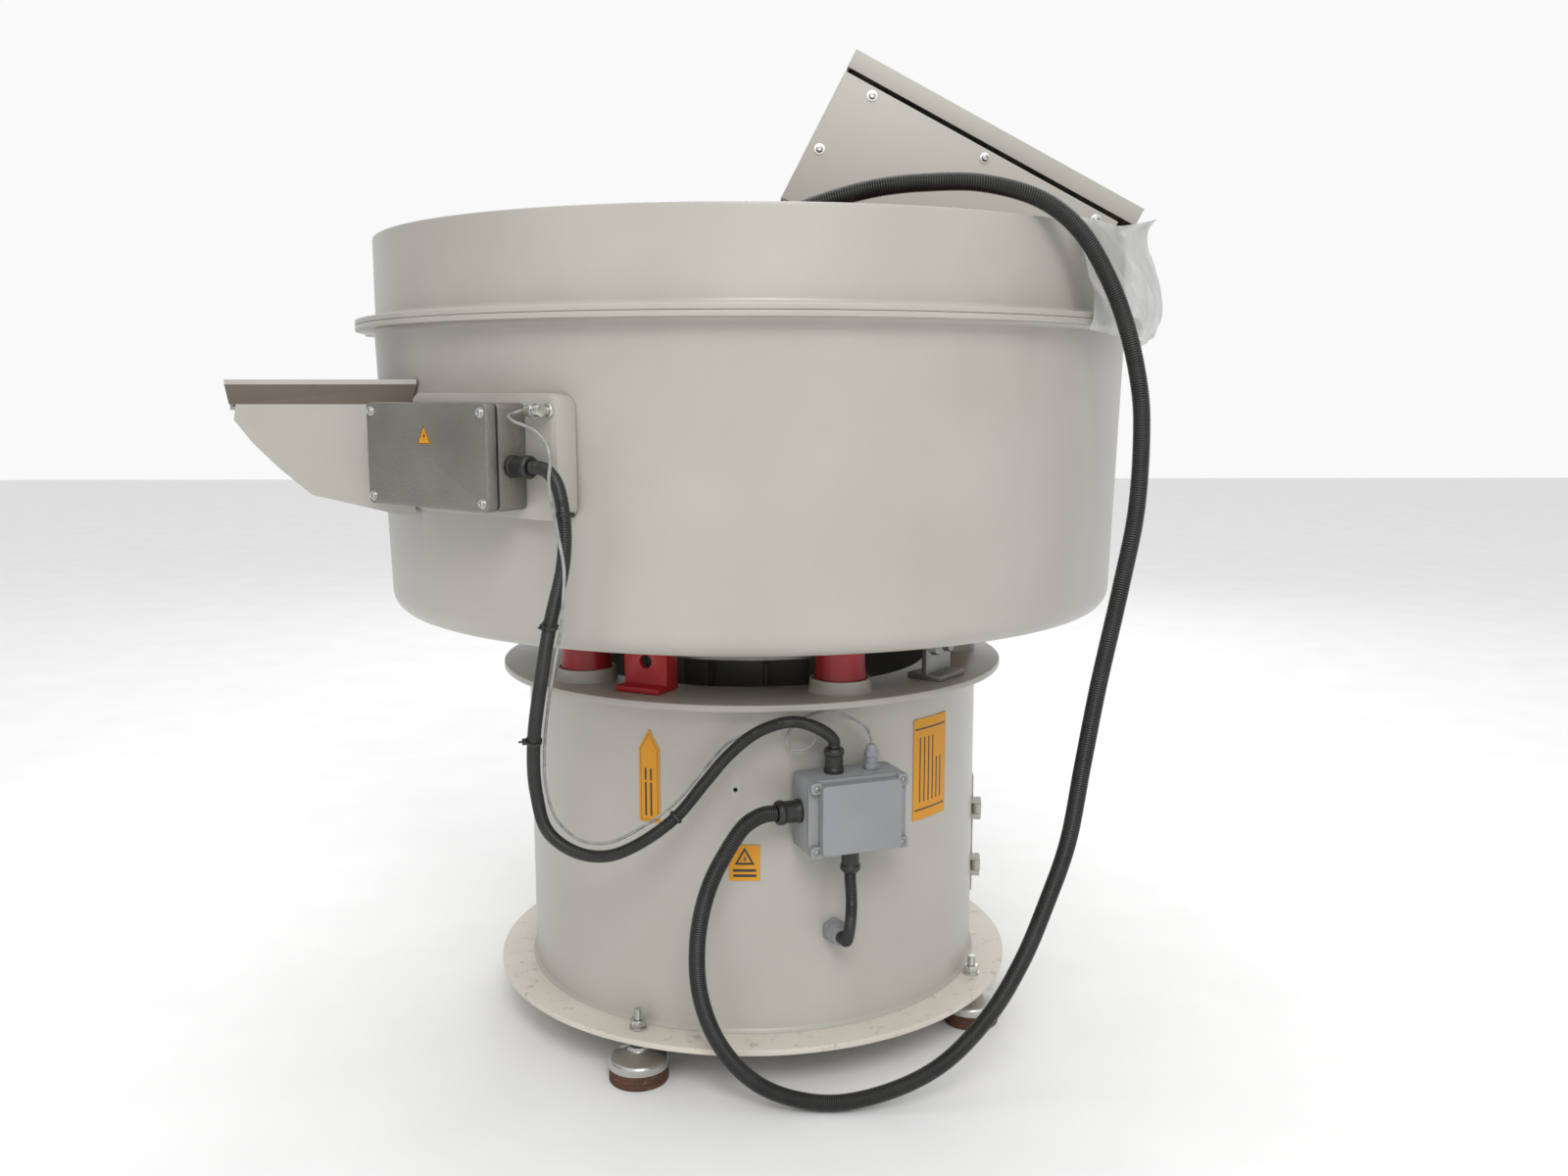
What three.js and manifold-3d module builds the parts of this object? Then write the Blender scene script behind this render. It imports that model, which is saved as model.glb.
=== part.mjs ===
// Round vibratory finishing bowl on a spring pedestal, with a discharge chute, a terminal box,
// a junction box, two flexible conduits and a tilted control cabinet.
// Millimetres, +Z up, the front of the machine faces -Y.
// Inside the machine group the bowl's axis is the local Z axis. An azimuth is measured at that axis
// from the front, positive towards +X.
import * as THREE from 'three';
import { mergeVertices } from 'three/addons/utils/BufferGeometryUtils.js';
import Module from 'manifold-3d';

const wasm = await Module();
wasm.setup();

// ---- driving dimensions ----------------------------------------------------------------------
const GAP = 0.3;                 // clearance between pieces that touch
const RING_STEPS = 40;           // facets of the big round shells

const FLANGE_R = 553;            // bolted flange between the lower shell and the splash ring
const CHUTE_REACH = 640;         // bowl axis to the outlet of the chute
const AXIS_X = (CHUTE_REACH - FLANGE_R) / 2;   // centres the machine between chute and flange

// pedestal
const FLOOR_RING = { r: 382, bore: 286, z0: 62, z1: 70 };
const PEDESTAL = { r: 331, wall: 4, z0: 70, z1: 509 };
const DECK = { r: 367, bore: 255, z0: 509, z1: 518 };
const MOUNT_R = 350;             // pitch radius of the levelling mounts
const MOUNT_AZIMUTHS = [-26, 64, 154, 244];
const PAD_HEIGHT = 19;
const CAP_R = 40;
const STUD_R = 6;
const DOOR = { from: 82, to: 124, z0: 150, z1: 330, thick: 3 };   // access door, azimuths in degrees
const HINGE = { pinR: 3, barrelR: 6, lug: 8, height: 32, play: 0.4 };
const HINGE_R = PEDESTAL.r + 9;  // bowl axis to the hinge pins
const HINGE_HEIGHTS = [DOOR.z0 + 30, DOOR.z1 - 62];

// springs
const SPRING_R = 34.5;
const SPRING_PITCH_R = 298;
const SPRING_COUNT = 5;
const SPRING_FIRST_AZIMUTH = 22.5;
const SPRING_TOP = 603.5;
const CUP = { r: 40, wall: 4, height: 17 };

// bowl
const SHELL = { rTop: 528, rBottom: 517, corner: 30, wall: 4.5, z0: 604, flangeZ0: 984, flangeZ1: 991 };
const HUB = { r: 168, wall: 5, top: 966 };
const LINER = { inner: 184, outer: 504, thick: 12, arcZ: 795, top: 990.6 };
const RING = { r: 526, wall: 4, lipThick: 7, top: 1106 };
const CAP_Z = 1000;              // flat top of the cover over the hub

// chute: two side walls, a sloped return pan and a perforated deck above it
const CHUTE = { y0: -325, y1: -130, top: 919, band: 30, flare: 12, edge: 6, wall: 3 };
const CHUTE_DECK_Z = 884;
const FLAP = { x: -515, pinZ: 904, pinR: 4, side: 4.5 };

// vibration motor
const MOTOR = { r: 112, z0: 336, z1: 752, shaftR: 20, weightR: 128, weightThick: 38 };

// terminal box on the bowl and junction box on the pedestal
const TERMINAL = { azimuth: -39.8, w: 220, h: 120, body: 38, lid: 14, z: 832, r: 530 };
const TERMINAL_GLAND = { y: -20, z: -10 };      // from the middle of the box's back
const TERMINAL_PAD = { x0: -96, x1: 162, h: 142, front: 529.5, wall: 3, behindR: 526.4, corner: 16 };
const ELBOW = { x: 150, z: 52, stand: 17 };
const JUNCTION = { azimuth: 19.6, w: 134, h: 98, body: 50, lid: 24, z: 378, r: 333 };
// glands of the junction box: x of the two on top and the one below, height of the one on the side
const JUNCTION_GLANDS = { topBlack: -21, topGrey: 31, below: 0, side: 4 };
const GLAND_LENGTH = 32;
const WALL_GLAND = { azimuth: 18.3, z: 205, length: 28 };

// control cabinet: long side slopes down to the right, door on the upper face
const CABINET = { slope: 27.6, length: 405, width: 400, body: 180, door: 24, doorLength: 427 };
const CABINET_CORNER = { x: 135, z: 1338 };    // upper left corner of the door's outer face
const DOOR_GAP = 6;
// screws of the side cover: distance down the slope and depth below the body's rim
const SIDE_SCREWS = [
  [45, 12], [211, 12], [377, 12], [16, 102], [389, 102], [45, 168], [211, 168], [360, 168],
];
const CRADLE = { x0: -60, x1: 186, half: 120, wall: 3 };

// conduits
const MAIN_R = 10.6;
const MOTOR_CONDUIT_R = 7.9;
const WIRE_R = 1.8;

// ---- materials -------------------------------------------------------------------------------
const material = (color, roughness, metalness) =>
  new THREE.MeshStandardMaterial({ color, roughness, metalness });
const paint = material(0xd3d0c8, 0.45, 0.05);
const cabinetPaint = material(0xc9cac4, 0.6, 0.05);
const zinc = material(0xb4b6b6, 0.35, 0.9);
const castAluminium = material(0x8f9194, 0.45, 0.9);
const steel = material(0x6f7274, 0.4, 0.9);
const springRed = material(0x9c1620, 0.5, 0.0);
const padRubber = material(0x5a3527, 0.9, 0.0);
const blackPlastic = material(0x141414, 0.5, 0.0);
const greyPlastic = material(0xa3a9ae, 0.5, 0.0);
const lining = material(0x8a3a22, 0.55, 0.0);
const labelYellow = material(0xf0b400, 0.5, 0.0);
const wireClear = material(0x8f948f, 0.4, 0.0);
const buttonRed = material(0xc01818, 0.4, 0.0);
const buttonGreen = material(0x1f8a3b, 0.4, 0.0);

// ---- geometry helpers ------------------------------------------------------------------------
const radians = (degrees) => degrees * Math.PI / 180;

function toSolid(geometry) {
  const bare = geometry.clone();
  bare.deleteAttribute('normal');
  bare.deleteAttribute('uv');
  const merged = mergeVertices(bare, 1e-4);
  const index = merged.index.array;
  const triangles = [];
  for (let i = 0; i < index.length; i += 3) {
    const [a, b, c] = [index[i], index[i + 1], index[i + 2]];
    if (a !== b && b !== c && c !== a) triangles.push(a, b, c);
  }
  return new wasm.Manifold(new wasm.Mesh({
    numProp: 3,
    vertProperties: new Float32Array(merged.attributes.position.array),
    triVerts: new Uint32Array(triangles),
  }));
}

function toGeometry(solid) {
  const mesh = solid.getMesh();
  const geometry = new THREE.BufferGeometry();
  geometry.setAttribute('position', new THREE.BufferAttribute(mesh.vertProperties, 3));
  geometry.setIndex(new THREE.BufferAttribute(mesh.triVerts, 1));
  geometry.computeVertexNormals();
  return geometry;
}

const join = (first, ...others) =>
  toGeometry(others.reduce((sum, other) => sum.add(toSolid(other)), toSolid(first)));
const cut = (first, ...tools) =>
  toGeometry(tools.reduce((rest, tool) => rest.subtract(toSolid(tool)), toSolid(first)));
const common = (first, second) => toGeometry(toSolid(first).intersect(toSolid(second)));

// box given by its low and high corners
function block(x0, x1, y0, y1, z0, z1) {
  return new THREE.BoxGeometry(x1 - x0, y1 - y0, z1 - z0)
    .translate((x0 + x1) / 2, (y0 + y1) / 2, (z0 + z1) / 2);
}

function rod(r, z0, z1, x = 0, y = 0, sides = 16) {
  return new THREE.CylinderGeometry(r, r, z1 - z0, sides)
    .rotateX(Math.PI / 2).translate(x, y, (z0 + z1) / 2);
}

const hexagon = (acrossFlats, z0, z1, x = 0, y = 0) =>
  rod(acrossFlats / Math.sqrt(3), z0, z1, x, y, 6);

// solid of revolution about Z; the outline is a list of [radius, z] going up its outer side
function revolve(outline, steps = RING_STEPS) {
  const onAxis = outline[0][0] === 0 && outline.at(-1)[0] === 0;
  const points = outline.map(([r, z]) => new THREE.Vector2(r, z));
  if (!onAxis) points.push(points[0].clone());
  return new THREE.LatheGeometry(points, steps).rotateX(Math.PI / 2);
}

const washer = (r, bore, z0, z1, steps = RING_STEPS) =>
  revolve([[bore, z0], [r, z0], [r, z1], [bore, z1]], steps);

// points of an arc in the [radius, z] plane, angles in degrees
function arc(r, z, radius, from, to, steps) {
  return Array.from({ length: steps + 1 }, (_, i) => {
    const angle = radians(from + (to - from) * i / steps);
    return [r + radius * Math.cos(angle), z + radius * Math.sin(angle)];
  });
}

// flat plate in the XZ plane from an outline of [x, z], between two values of y
function profileXZ(outline, y0, y1) {
  const shape = new THREE.Shape(outline.map(([x, z]) => new THREE.Vector2(x, z)));
  return new THREE.ExtrudeGeometry(shape, { depth: y1 - y0, bevelEnabled: false })
    .rotateX(Math.PI / 2).translate(0, y1, 0);
}

// upright plate with rounded corners, centred on x = z = 0, between two values of y
function roundedPlate(w, h, corner, y0, y1) {
  const outline = [
    ...arc(w / 2 - corner, h / 2 - corner, corner, 0, 90, 3),
    ...arc(-w / 2 + corner, h / 2 - corner, corner, 90, 180, 3),
    ...arc(-w / 2 + corner, -h / 2 + corner, corner, 180, 270, 3),
    ...arc(w / 2 - corner, -h / 2 + corner, corner, 270, 360, 3),
  ];
  return profileXZ(outline, y0, y1);
}

// tube along a hand-placed route
function routed(route, radius, sides, steps) {
  const points = route.map((p) => new THREE.Vector3(...p));
  const curve = new THREE.CatmullRomCurve3(points, false, 'centripetal');
  const section = new THREE.Shape(Array.from({ length: sides }, (_, i) => {
    const angle = 2 * Math.PI * i / sides;
    return new THREE.Vector2(radius * Math.cos(angle), radius * Math.sin(angle));
  }));
  return new THREE.ExtrudeGeometry(section, { steps, extrudePath: curve, bevelEnabled: false });
}

const machine = new THREE.Group();
machine.position.set(AXIS_X, 0, 0);

function add(name, geometry, look, parent = machine) {
  const mesh = new THREE.Mesh(geometry, look);
  mesh.name = name;
  parent.add(mesh);
  return mesh;
}

// group whose -Y points outwards at an azimuth, on a radius
function station(azimuth, r = 0, z = 0) {
  const group = new THREE.Group();
  group.rotation.z = radians(azimuth);
  group.position.set(r * Math.sin(radians(azimuth)), -r * Math.cos(radians(azimuth)), z);
  machine.add(group);
  return group;
}

// pie-shaped block between two azimuths, used to cut rings
function sector(from, to, r, z0, z1) {
  const steps = 6;
  const outline = [[0, 0]];
  for (let i = 0; i <= steps; i++) {
    const angle = radians(from + (to - from) * i / steps);
    outline.push([r * Math.sin(angle), -r * Math.cos(angle)]);
  }
  const shape = new THREE.Shape(outline.map(([x, y]) => new THREE.Vector2(x, y)));
  return new THREE.ExtrudeGeometry(shape, { depth: z1 - z0, bevelEnabled: false }).translate(0, 0, z0);
}

const polar = (azimuth, r, z) =>
  [r * Math.sin(radians(azimuth)), -r * Math.cos(radians(azimuth)), z];

// ---- pedestal --------------------------------------------------------------------------------
function buildFloorRing() {
  const holes = MOUNT_AZIMUTHS.map((azimuth) => {
    const [x, y] = polar(azimuth, MOUNT_R, 0);
    return rod(STUD_R + 0.8, FLOOR_RING.z0 - 1, FLOOR_RING.z1 + 1, x, y, 12);
  });
  const plate = washer(FLOOR_RING.r, FLOOR_RING.bore, FLOOR_RING.z0, FLOOR_RING.z1);
  add('floor_ring', cut(plate, ...holes), paint);
}

function buildPedestalShell() {
  const shell = washer(PEDESTAL.r, PEDESTAL.r - PEDESTAL.wall, PEDESTAL.z0 + GAP, PEDESTAL.z1 - GAP);
  const doorway = sector(DOOR.from + 4, DOOR.to - 4, PEDESTAL.r + 20, DOOR.z0 + 18, DOOR.z1 - 18);
  const cableHole = new THREE.CylinderGeometry(11, 11, 40, 16)
    .translate(0, -PEDESTAL.r, 0).rotateZ(radians(WALL_GLAND.azimuth)).translate(0, 0, WALL_GLAND.z);
  const lugs = [];
  for (const z of HINGE_HEIGHTS) {
    for (const bottom of [z, z + HINGE.height - HINGE.lug]) {
      const lug = block(-6, 6, -HINGE_R - 5, -PEDESTAL.r + 1.5, bottom, bottom + HINGE.lug);
      lugs.push(lug.rotateZ(radians(DOOR.from)));
    }
    const [x, y] = polar(DOOR.from, HINGE_R, 0);
    lugs.push(rod(HINGE.pinR, z, z + HINGE.height, x, y, 12));
  }
  add('pedestal_shell', join(cut(shell, doorway, cableHole), ...lugs), paint);
}

function buildAccessDoor() {
  const inner = PEDESTAL.r + 1;
  const leaf = common(
    washer(inner + DOOR.thick, inner, DOOR.z0, DOOR.z1),
    sector(DOOR.from + 2.2, DOOR.to, PEDESTAL.r + 30, DOOR.z0, DOOR.z1),
  );
  const [pinX, pinY] = polar(DOOR.from, HINGE_R, 0);
  const barrels = HINGE_HEIGHTS.map((z) => {
    const low = z + HINGE.lug + HINGE.play;
    const high = z + HINGE.height - HINGE.lug - HINGE.play;
    const strap = block(0, 22, -HINGE_R - 2.5, -inner - 1.2, low, high).rotateZ(radians(DOOR.from));
    return join(rod(HINGE.barrelR, low, high, pinX, pinY), strap);
  });
  const bores = HINGE_HEIGHTS.map((z) => rod(HINGE.pinR + 0.35, z, z + HINGE.height, pinX, pinY, 16));
  const latchHole = new THREE.CylinderGeometry(5.4, 5.4, 30, 16)
    .translate(0, -inner, 0).rotateZ(radians(DOOR.to - 6)).translate(0, 0, (DOOR.z0 + DOOR.z1) / 2);
  add('access_door', cut(join(leaf, ...barrels), ...bores, latchHole), paint);

  const latch = station(DOOR.to - 6, inner, (DOOR.z0 + DOOR.z1) / 2);
  const knob = new THREE.CylinderGeometry(11, 11, 9, 16).translate(0, -DOOR.thick - 5, 0);
  const wing = block(-5, 5, -DOOR.thick - 17, -DOOR.thick - 6, -13, 13);
  const stem = new THREE.CylinderGeometry(5, 5, 18, 16).translate(0, 3.5 - DOOR.thick, 0);
  const tongue = block(-5, 5, 7.5, 10.5, -23, 5);
  add('access_door_latch', join(knob, wing, stem, tongue), blackPlastic, latch);
}

function buildDeck() {
  const cups = Array.from({ length: SPRING_COUNT }, (_, i) => {
    const [x, y] = polar(SPRING_FIRST_AZIMUTH + i * 360 / SPRING_COUNT, SPRING_PITCH_R, 0);
    return washer(CUP.r, CUP.r - CUP.wall, DECK.z1 - 1, DECK.z1 + CUP.height, 16).translate(x, y, 0);
  });
  add('spring_deck', join(washer(DECK.r, DECK.bore, DECK.z0, DECK.z1), ...cups), paint);
}

function buildSprings() {
  for (let i = 0; i < SPRING_COUNT; i++) {
    const [x, y] = polar(SPRING_FIRST_AZIMUTH + i * 360 / SPRING_COUNT, SPRING_PITCH_R, 0);
    const spring = washer(SPRING_R, 13, DECK.z1 + GAP, SPRING_TOP, 16);
    add(`support_spring_${i + 1}`, spring, springRed).position.set(x, y, 0);
  }
}

function buildLevellingMounts() {
  const cap = revolve([
    [0, PAD_HEIGHT + GAP], [CAP_R, PAD_HEIGHT + GAP], [CAP_R, 30], [CAP_R - 3, 32],
    [22, 38], [13, 41], [13, 47], [0, 47],
  ], 16);
  const stud = rod(STUD_R, 46, 97, 0, 0, 8);
  const jamNut = hexagon(19, 51.6, FLOOR_RING.z0 - GAP);
  const flatWasher = rod(12, FLOOR_RING.z1 + GAP, FLOOR_RING.z1 + 2.8, 0, 0, 12);
  const nut = hexagon(19, FLOOR_RING.z1 + 2.6, FLOOR_RING.z1 + 13);
  const mount = join(cap, stud, jamNut, flatWasher, nut);
  const padR = CAP_R - 0.5;
  const pad = revolve([[0, 0], [padR - 1, 0], [padR, 2], [padR, PAD_HEIGHT], [0, PAD_HEIGHT]], 16);
  MOUNT_AZIMUTHS.forEach((azimuth, i) => {
    const [x, y] = polar(azimuth, MOUNT_R, 0);
    add(`levelling_mount_${i + 1}`, mount.clone(), zinc).position.set(x, y, 0);
    add(`mount_pad_${i + 1}`, pad.clone(), padRubber).position.set(x, y, 0);
  });
}

// a folded bracket standing on the deck, with a bolt hole and a bottom lip
function buildTransportBrackets() {
  const web = cut(
    block(-32, 32, -4, 4, DECK.z1 + GAP, 584),
    new THREE.CylinderGeometry(9, 9, 20, 16).translate(0, 0, 556),
  );
  const foot = block(-32, 32, -26, 26, DECK.z1 + GAP, DECK.z1 + 8);
  const gussets = [-32, 26].map((x) => block(x, x + 6, -4, 24, DECK.z1 + GAP, 566));
  const red = station(-27, 305);
  add('transport_bracket_red', join(web, foot, ...gussets), springRed, red);

  const bolts = [-17, 17].map((x) => new THREE.CylinderGeometry(9, 9, 12, 6).translate(x, -8, 560));
  const grey = station(52, 318);
  add('transport_bracket_grey', join(block(-32, 32, -4, 4, DECK.z1 + GAP, 586), foot, ...bolts), steel, grey);
}

// ---- labels ----------------------------------------------------------------------------------
// a thin sheet lying on the pedestal, its outline given as [x, z] about the label's own centre
function wrapLabel(name, outline, azimuth, z) {
  const sheet = washer(PEDESTAL.r + 1.2, PEDESTAL.r + 0.4, z - 80, z + 80, RING_STEPS);
  const stamp = profileXZ(outline, -PEDESTAL.r - 10, -PEDESTAL.r + 40).translate(0, 0, z)
    .rotateZ(radians(azimuth));
  add(name, common(sheet, stamp), labelYellow);
}

function buildLabels() {
  const half = 62;
  const arrow = [[-15, -half], [15, -half], [15, half - 26], [0, half], [-15, half - 26]];
  const rectangle = (w, h) => [[-w / 2, -h / 2], [w / 2, -h / 2], [w / 2, h / 2], [-w / 2, h / 2]];
  wrapLabel('lifting_arrow_label', arrow, -24, 411);
  wrapLabel('instruction_label', rectangle(72, 140), 46.5, 400);
  wrapLabel('hazard_label', rectangle(40, 48), -2, 302);
}

// ---- bowl ------------------------------------------------------------------------------------
// everything the chute's mouth takes out of the bowl wall
const chuteMouth = () =>
  block(-560, -300, CHUTE.y0 + 5, CHUTE.y1 - 5, 780, CHUTE.top - 6);

function buildBowlShell() {
  const { rTop, rBottom, corner, wall, z0, flangeZ0, flangeZ1 } = SHELL;
  const outline = [
    [HUB.r, z0],
    ...arc(rBottom - corner, z0 + corner, corner, -90, 0, 4),
    [rTop, flangeZ0], [FLANGE_R, flangeZ0], [FLANGE_R, flangeZ1], [rTop - wall, flangeZ1],
    ...arc(rBottom - corner, z0 + corner, corner - wall, 0, -90, 4),
    [HUB.r, z0 + wall], [HUB.r, HUB.top], [HUB.r - HUB.wall, HUB.top], [HUB.r - HUB.wall, z0],
  ];
  const ear = block(-16, 16, -571, -rTop + 6, flangeZ0, flangeZ1).rotateZ(radians(-95));
  add('bowl_shell', cut(join(revolve(outline), ear), chuteMouth()), paint);
}

function buildLining() {
  const { inner, outer, thick, arcZ, top } = LINER;
  const middle = (inner + outer) / 2;
  const radius = (outer - inner) / 2;
  const wallAt = (z) => SHELL.rTop - SHELL.wall - 1.2 - (SHELL.flangeZ1 - z) * 0.0315;
  const outline = [
    [inner - thick, HUB.top - 12],
    ...arc(middle, arcZ, radius + thick, 180, 360, 7),
    [wallAt(arcZ), arcZ + 10], [wallAt(top), top],
    [outer + 6, top],
    ...arc(middle, arcZ, radius, 0, -180, 7),
    [inner, HUB.top - 12],
  ];
  add('bowl_lining', cut(revolve(outline), chuteMouth()), lining);
}

function buildSplashRing() {
  const { r, wall, lipThick, top } = RING;
  const z0 = SHELL.flangeZ1 + GAP;
  const outline = [
    [r - wall, z0], [FLANGE_R, z0], [FLANGE_R, z0 + lipThick], [r, z0 + lipThick + 2],
    [r, top - 1], [r - 1, top], [r - wall + 1, top], [r - wall, top - 1],
  ];
  const ear = block(-16, 16, -571, -r + 1, z0, z0 + lipThick).rotateZ(radians(-95));
  const tab = block(-16, -8, -568, -r + 1, z0, z0 + 21).rotateZ(radians(-95));
  const bolt = hexagon(13, z0 + 4, z0 + 14, 4, -561).rotateZ(radians(-95));
  add('splash_ring', join(revolve(outline), ear, tab, bolt), paint);
}

function buildHubCover() {
  const outline = [
    [188, HUB.top + GAP], [192, HUB.top + GAP], [192, HUB.top + 8], [152, CAP_Z], [0, CAP_Z],
    [0, CAP_Z - 4], [150, CAP_Z - 4], [188, HUB.top + 6],
  ];
  add('hub_cover', revolve(outline, 32), paint);
}

// ---- vibration motor -------------------------------------------------------------------------
function buildMotor() {
  const skirt = revolve([
    [246, 560], [252, 560], [252, SHELL.z0 - GAP], [246, SHELL.z0 - GAP],
  ], 24);
  const bolts = Array.from({ length: 8 }, (_, i) =>
    new THREE.CylinderGeometry(8, 8, 10, 6).translate(0, -251, 582).rotateZ(radians(i * 45)));
  const flange = washer(252, MOTOR.r - 2, 552, 562, 24);
  add('motor_skirt', join(skirt, flange, ...bolts), steel);

  const body = revolve([
    [MOTOR.shaftR + 1, MOTOR.z0], [70, MOTOR.z0], [MOTOR.r - 8, MOTOR.z0 + 24], [MOTOR.r - 8, 540],
    [MOTOR.r + 40, 540], [MOTOR.r + 40, 551.7], [MOTOR.r - 8, 551.7], [MOTOR.r - 8, MOTOR.z1 - 24],
    [70, MOTOR.z1], [MOTOR.shaftR + 1, MOTOR.z1],
  ], 24);
  const fins = [];
  for (let i = 0; i < 8; i++) {
    fins.push(block(-3, 3, -MOTOR.r - 6, -MOTOR.r + 12, MOTOR.z0 + 40, 520).rotateZ(radians(i * 45 + 10)));
  }
  add('motor_housing', join(body, ...fins), castAluminium);

  add('motor_shaft', rod(MOTOR.shaftR, MOTOR.z0 - 66, MOTOR.z1 + 66, 0, 0, 16), steel);
  const half = (z0, turn) => {
    const disc = washer(MOTOR.weightR, MOTOR.shaftR + 0.5, z0, z0 + MOTOR.weightThick, 24);
    const keep = join(
      block(-140, 140, -140, 0, z0 - 1, z0 + 60),
      rod(34, z0 - 1, z0 + 60, 0, 0, 16),
    );
    return common(disc, keep).rotateZ(radians(turn));
  };
  add('upper_weight', half(MOTOR.z1 + 16, 0), steel);
  add('lower_weight', half(MOTOR.z0 - 16 - MOTOR.weightThick, 90), steel);
}

// ---- discharge chute -------------------------------------------------------------------------
function buildChute() {
  const { y0, y1, top, band, flare, edge, wall } = CHUTE;
  const tip = -CHUTE_REACH;
  // side outline: shallow at the outlet, deep where it meets the bowl
  const lower = [[-635, 870], [-613, 841], [-582, 810], [-544, 778], [-438, 753], [-380, 753]];
  const side = [...lower, [-380, top], [tip + 8, top], [tip + 8, top - band]];
  const outer = profileXZ(side, y0, y1);
  const inset = lower.map(([x, z]) => [x + 2, z + wall]);
  const inner = profileXZ([...inset, [-370, 756], [-370, top + 5], [-660, top + 5], [-660, 873]],
    y0 + wall, y1 - wall);
  const bowlSpace = rod(SHELL.rTop + 1.2, 700, SHELL.flangeZ0 + 20, 0, 0, 96);
  // stiffening band along the top of each side wall, flared outwards, from the bowl to the outlet
  const bands = [[y0, -1], [y1, 1]].map(([y, out]) => {
    const section = [
      [y - out * wall, top - band], [y, top - band], [y + out * flare, top - edge],
      [y + out * flare, top], [y - out * wall, top],
    ];
    return profileXZ(section, 380, CHUTE_REACH).rotateZ(Math.PI / 2);
  });
  add('discharge_chute', cut(join(cut(outer, inner), ...bands), bowlSpace), paint);

  const lip = join(
    block(tip, tip + 4, y0 + wall + 0.4, y1 - wall - 0.4, CHUTE_DECK_Z - 2, CHUTE_DECK_Z + 5),
    block(tip, FLAP.x - 20, y0 + wall + 0.4, y1 - wall - 0.4, CHUTE_DECK_Z - 2, CHUTE_DECK_Z + 2),
  );
  const slots = [];
  for (let x = tip + 22; x < FLAP.x - 32; x += 18) {
    for (let y = y0 + 22; y < y1 - 30; y += 44) {
      slots.push(block(x, x + 8, y, y + 34, CHUTE_DECK_Z - 4, CHUTE_DECK_Z + 6));
    }
  }
  add('separation_screen', cut(lip, ...slots), steel);

  // flap hanging from a cross pin, just outside the bowl wall
  const [near, far] = [y0 + wall + FLAP.side, y1 - wall - FLAP.side];
  const leaf = block(FLAP.x - 2, FLAP.x + 2, near, far, 784, FLAP.pinZ);
  const pin = new THREE.CylinderGeometry(FLAP.pinR, FLAP.pinR, far - near, 12)
    .translate(FLAP.x, (near + far) / 2, FLAP.pinZ);
  const middle = (near + far) / 2;
  const grip = [-34, 28].map((y) => block(FLAP.x - 12, FLAP.x - 1, middle + y, middle + y + 6, 862, 874));
  const bar = block(FLAP.x - 14, FLAP.x - 9, middle - 34, middle + 34, 864, 872);
  add('discharge_flap', join(leaf, pin, ...grip, bar), steel);
}

// ---- terminal box on the bowl ----------------------------------------------------------------
// cable gland along +Z from its base: hexagon, body and dome nut
function gland(cordR) {
  const r = cordR + 4;
  return join(
    hexagon(2 * r + 3, 0, 7), rod(r, 6, 16, 0, 0, 12), hexagon(2 * r + 1, 15, 24),
    rod(r - 1.5, 23, 32, 0, 0, 12),
  );
}

function addGland(name, cordR, look, parent, position, direction) {
  const mesh = add(name, gland(cordR), look, parent);
  mesh.position.set(...position);
  mesh.quaternion.setFromUnitVectors(new THREE.Vector3(0, 0, 1), new THREE.Vector3(...direction));
}

function cornerScrews(w, h, inset, r, y0, y1) {
  return [[-1, -1], [1, -1], [1, 1], [-1, 1]].map(([sx, sz]) =>
    new THREE.CylinderGeometry(r, r, y1 - y0, 8)
      .translate(sx * (w / 2 - inset), (y0 + y1) / 2, sz * (h / 2 - inset)));
}

// welded sheet-metal pad: flat in front, scribed to the round shell behind
function buildTerminalPad() {
  const pad = station(TERMINAL.azimuth, 0, TERMINAL.z);
  const { x0, x1, h, front, wall } = TERMINAL_PAD;
  const shellSpace = rod(TERMINAL_PAD.behindR, -200, 200, 0, 0, 60);
  const outline = (margin, y0, y1) =>
    roundedPlate(x1 - x0 - 2 * margin, h - 2 * margin, TERMINAL_PAD.corner - margin, y0, y1)
      .translate((x0 + x1) / 2, 0, 0);
  const padShape = cut(outline(0, -front, -440), outline(wall, -front + wall, -430), shellSpace);

  // small right-angle fitting on the corner of the pad, where the thin wire starts
  const elbow = join(
    new THREE.CylinderGeometry(5, 5, 19, 12).translate(0, -8.5, 0),
    new THREE.CylinderGeometry(7, 7, 24, 12).rotateZ(Math.PI / 2).translate(-5, -ELBOW.stand, 0),
  ).translate(ELBOW.x, -front, ELBOW.z);
  add('terminal_box_pad', join(padShape, elbow), paint, pad);
}

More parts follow.
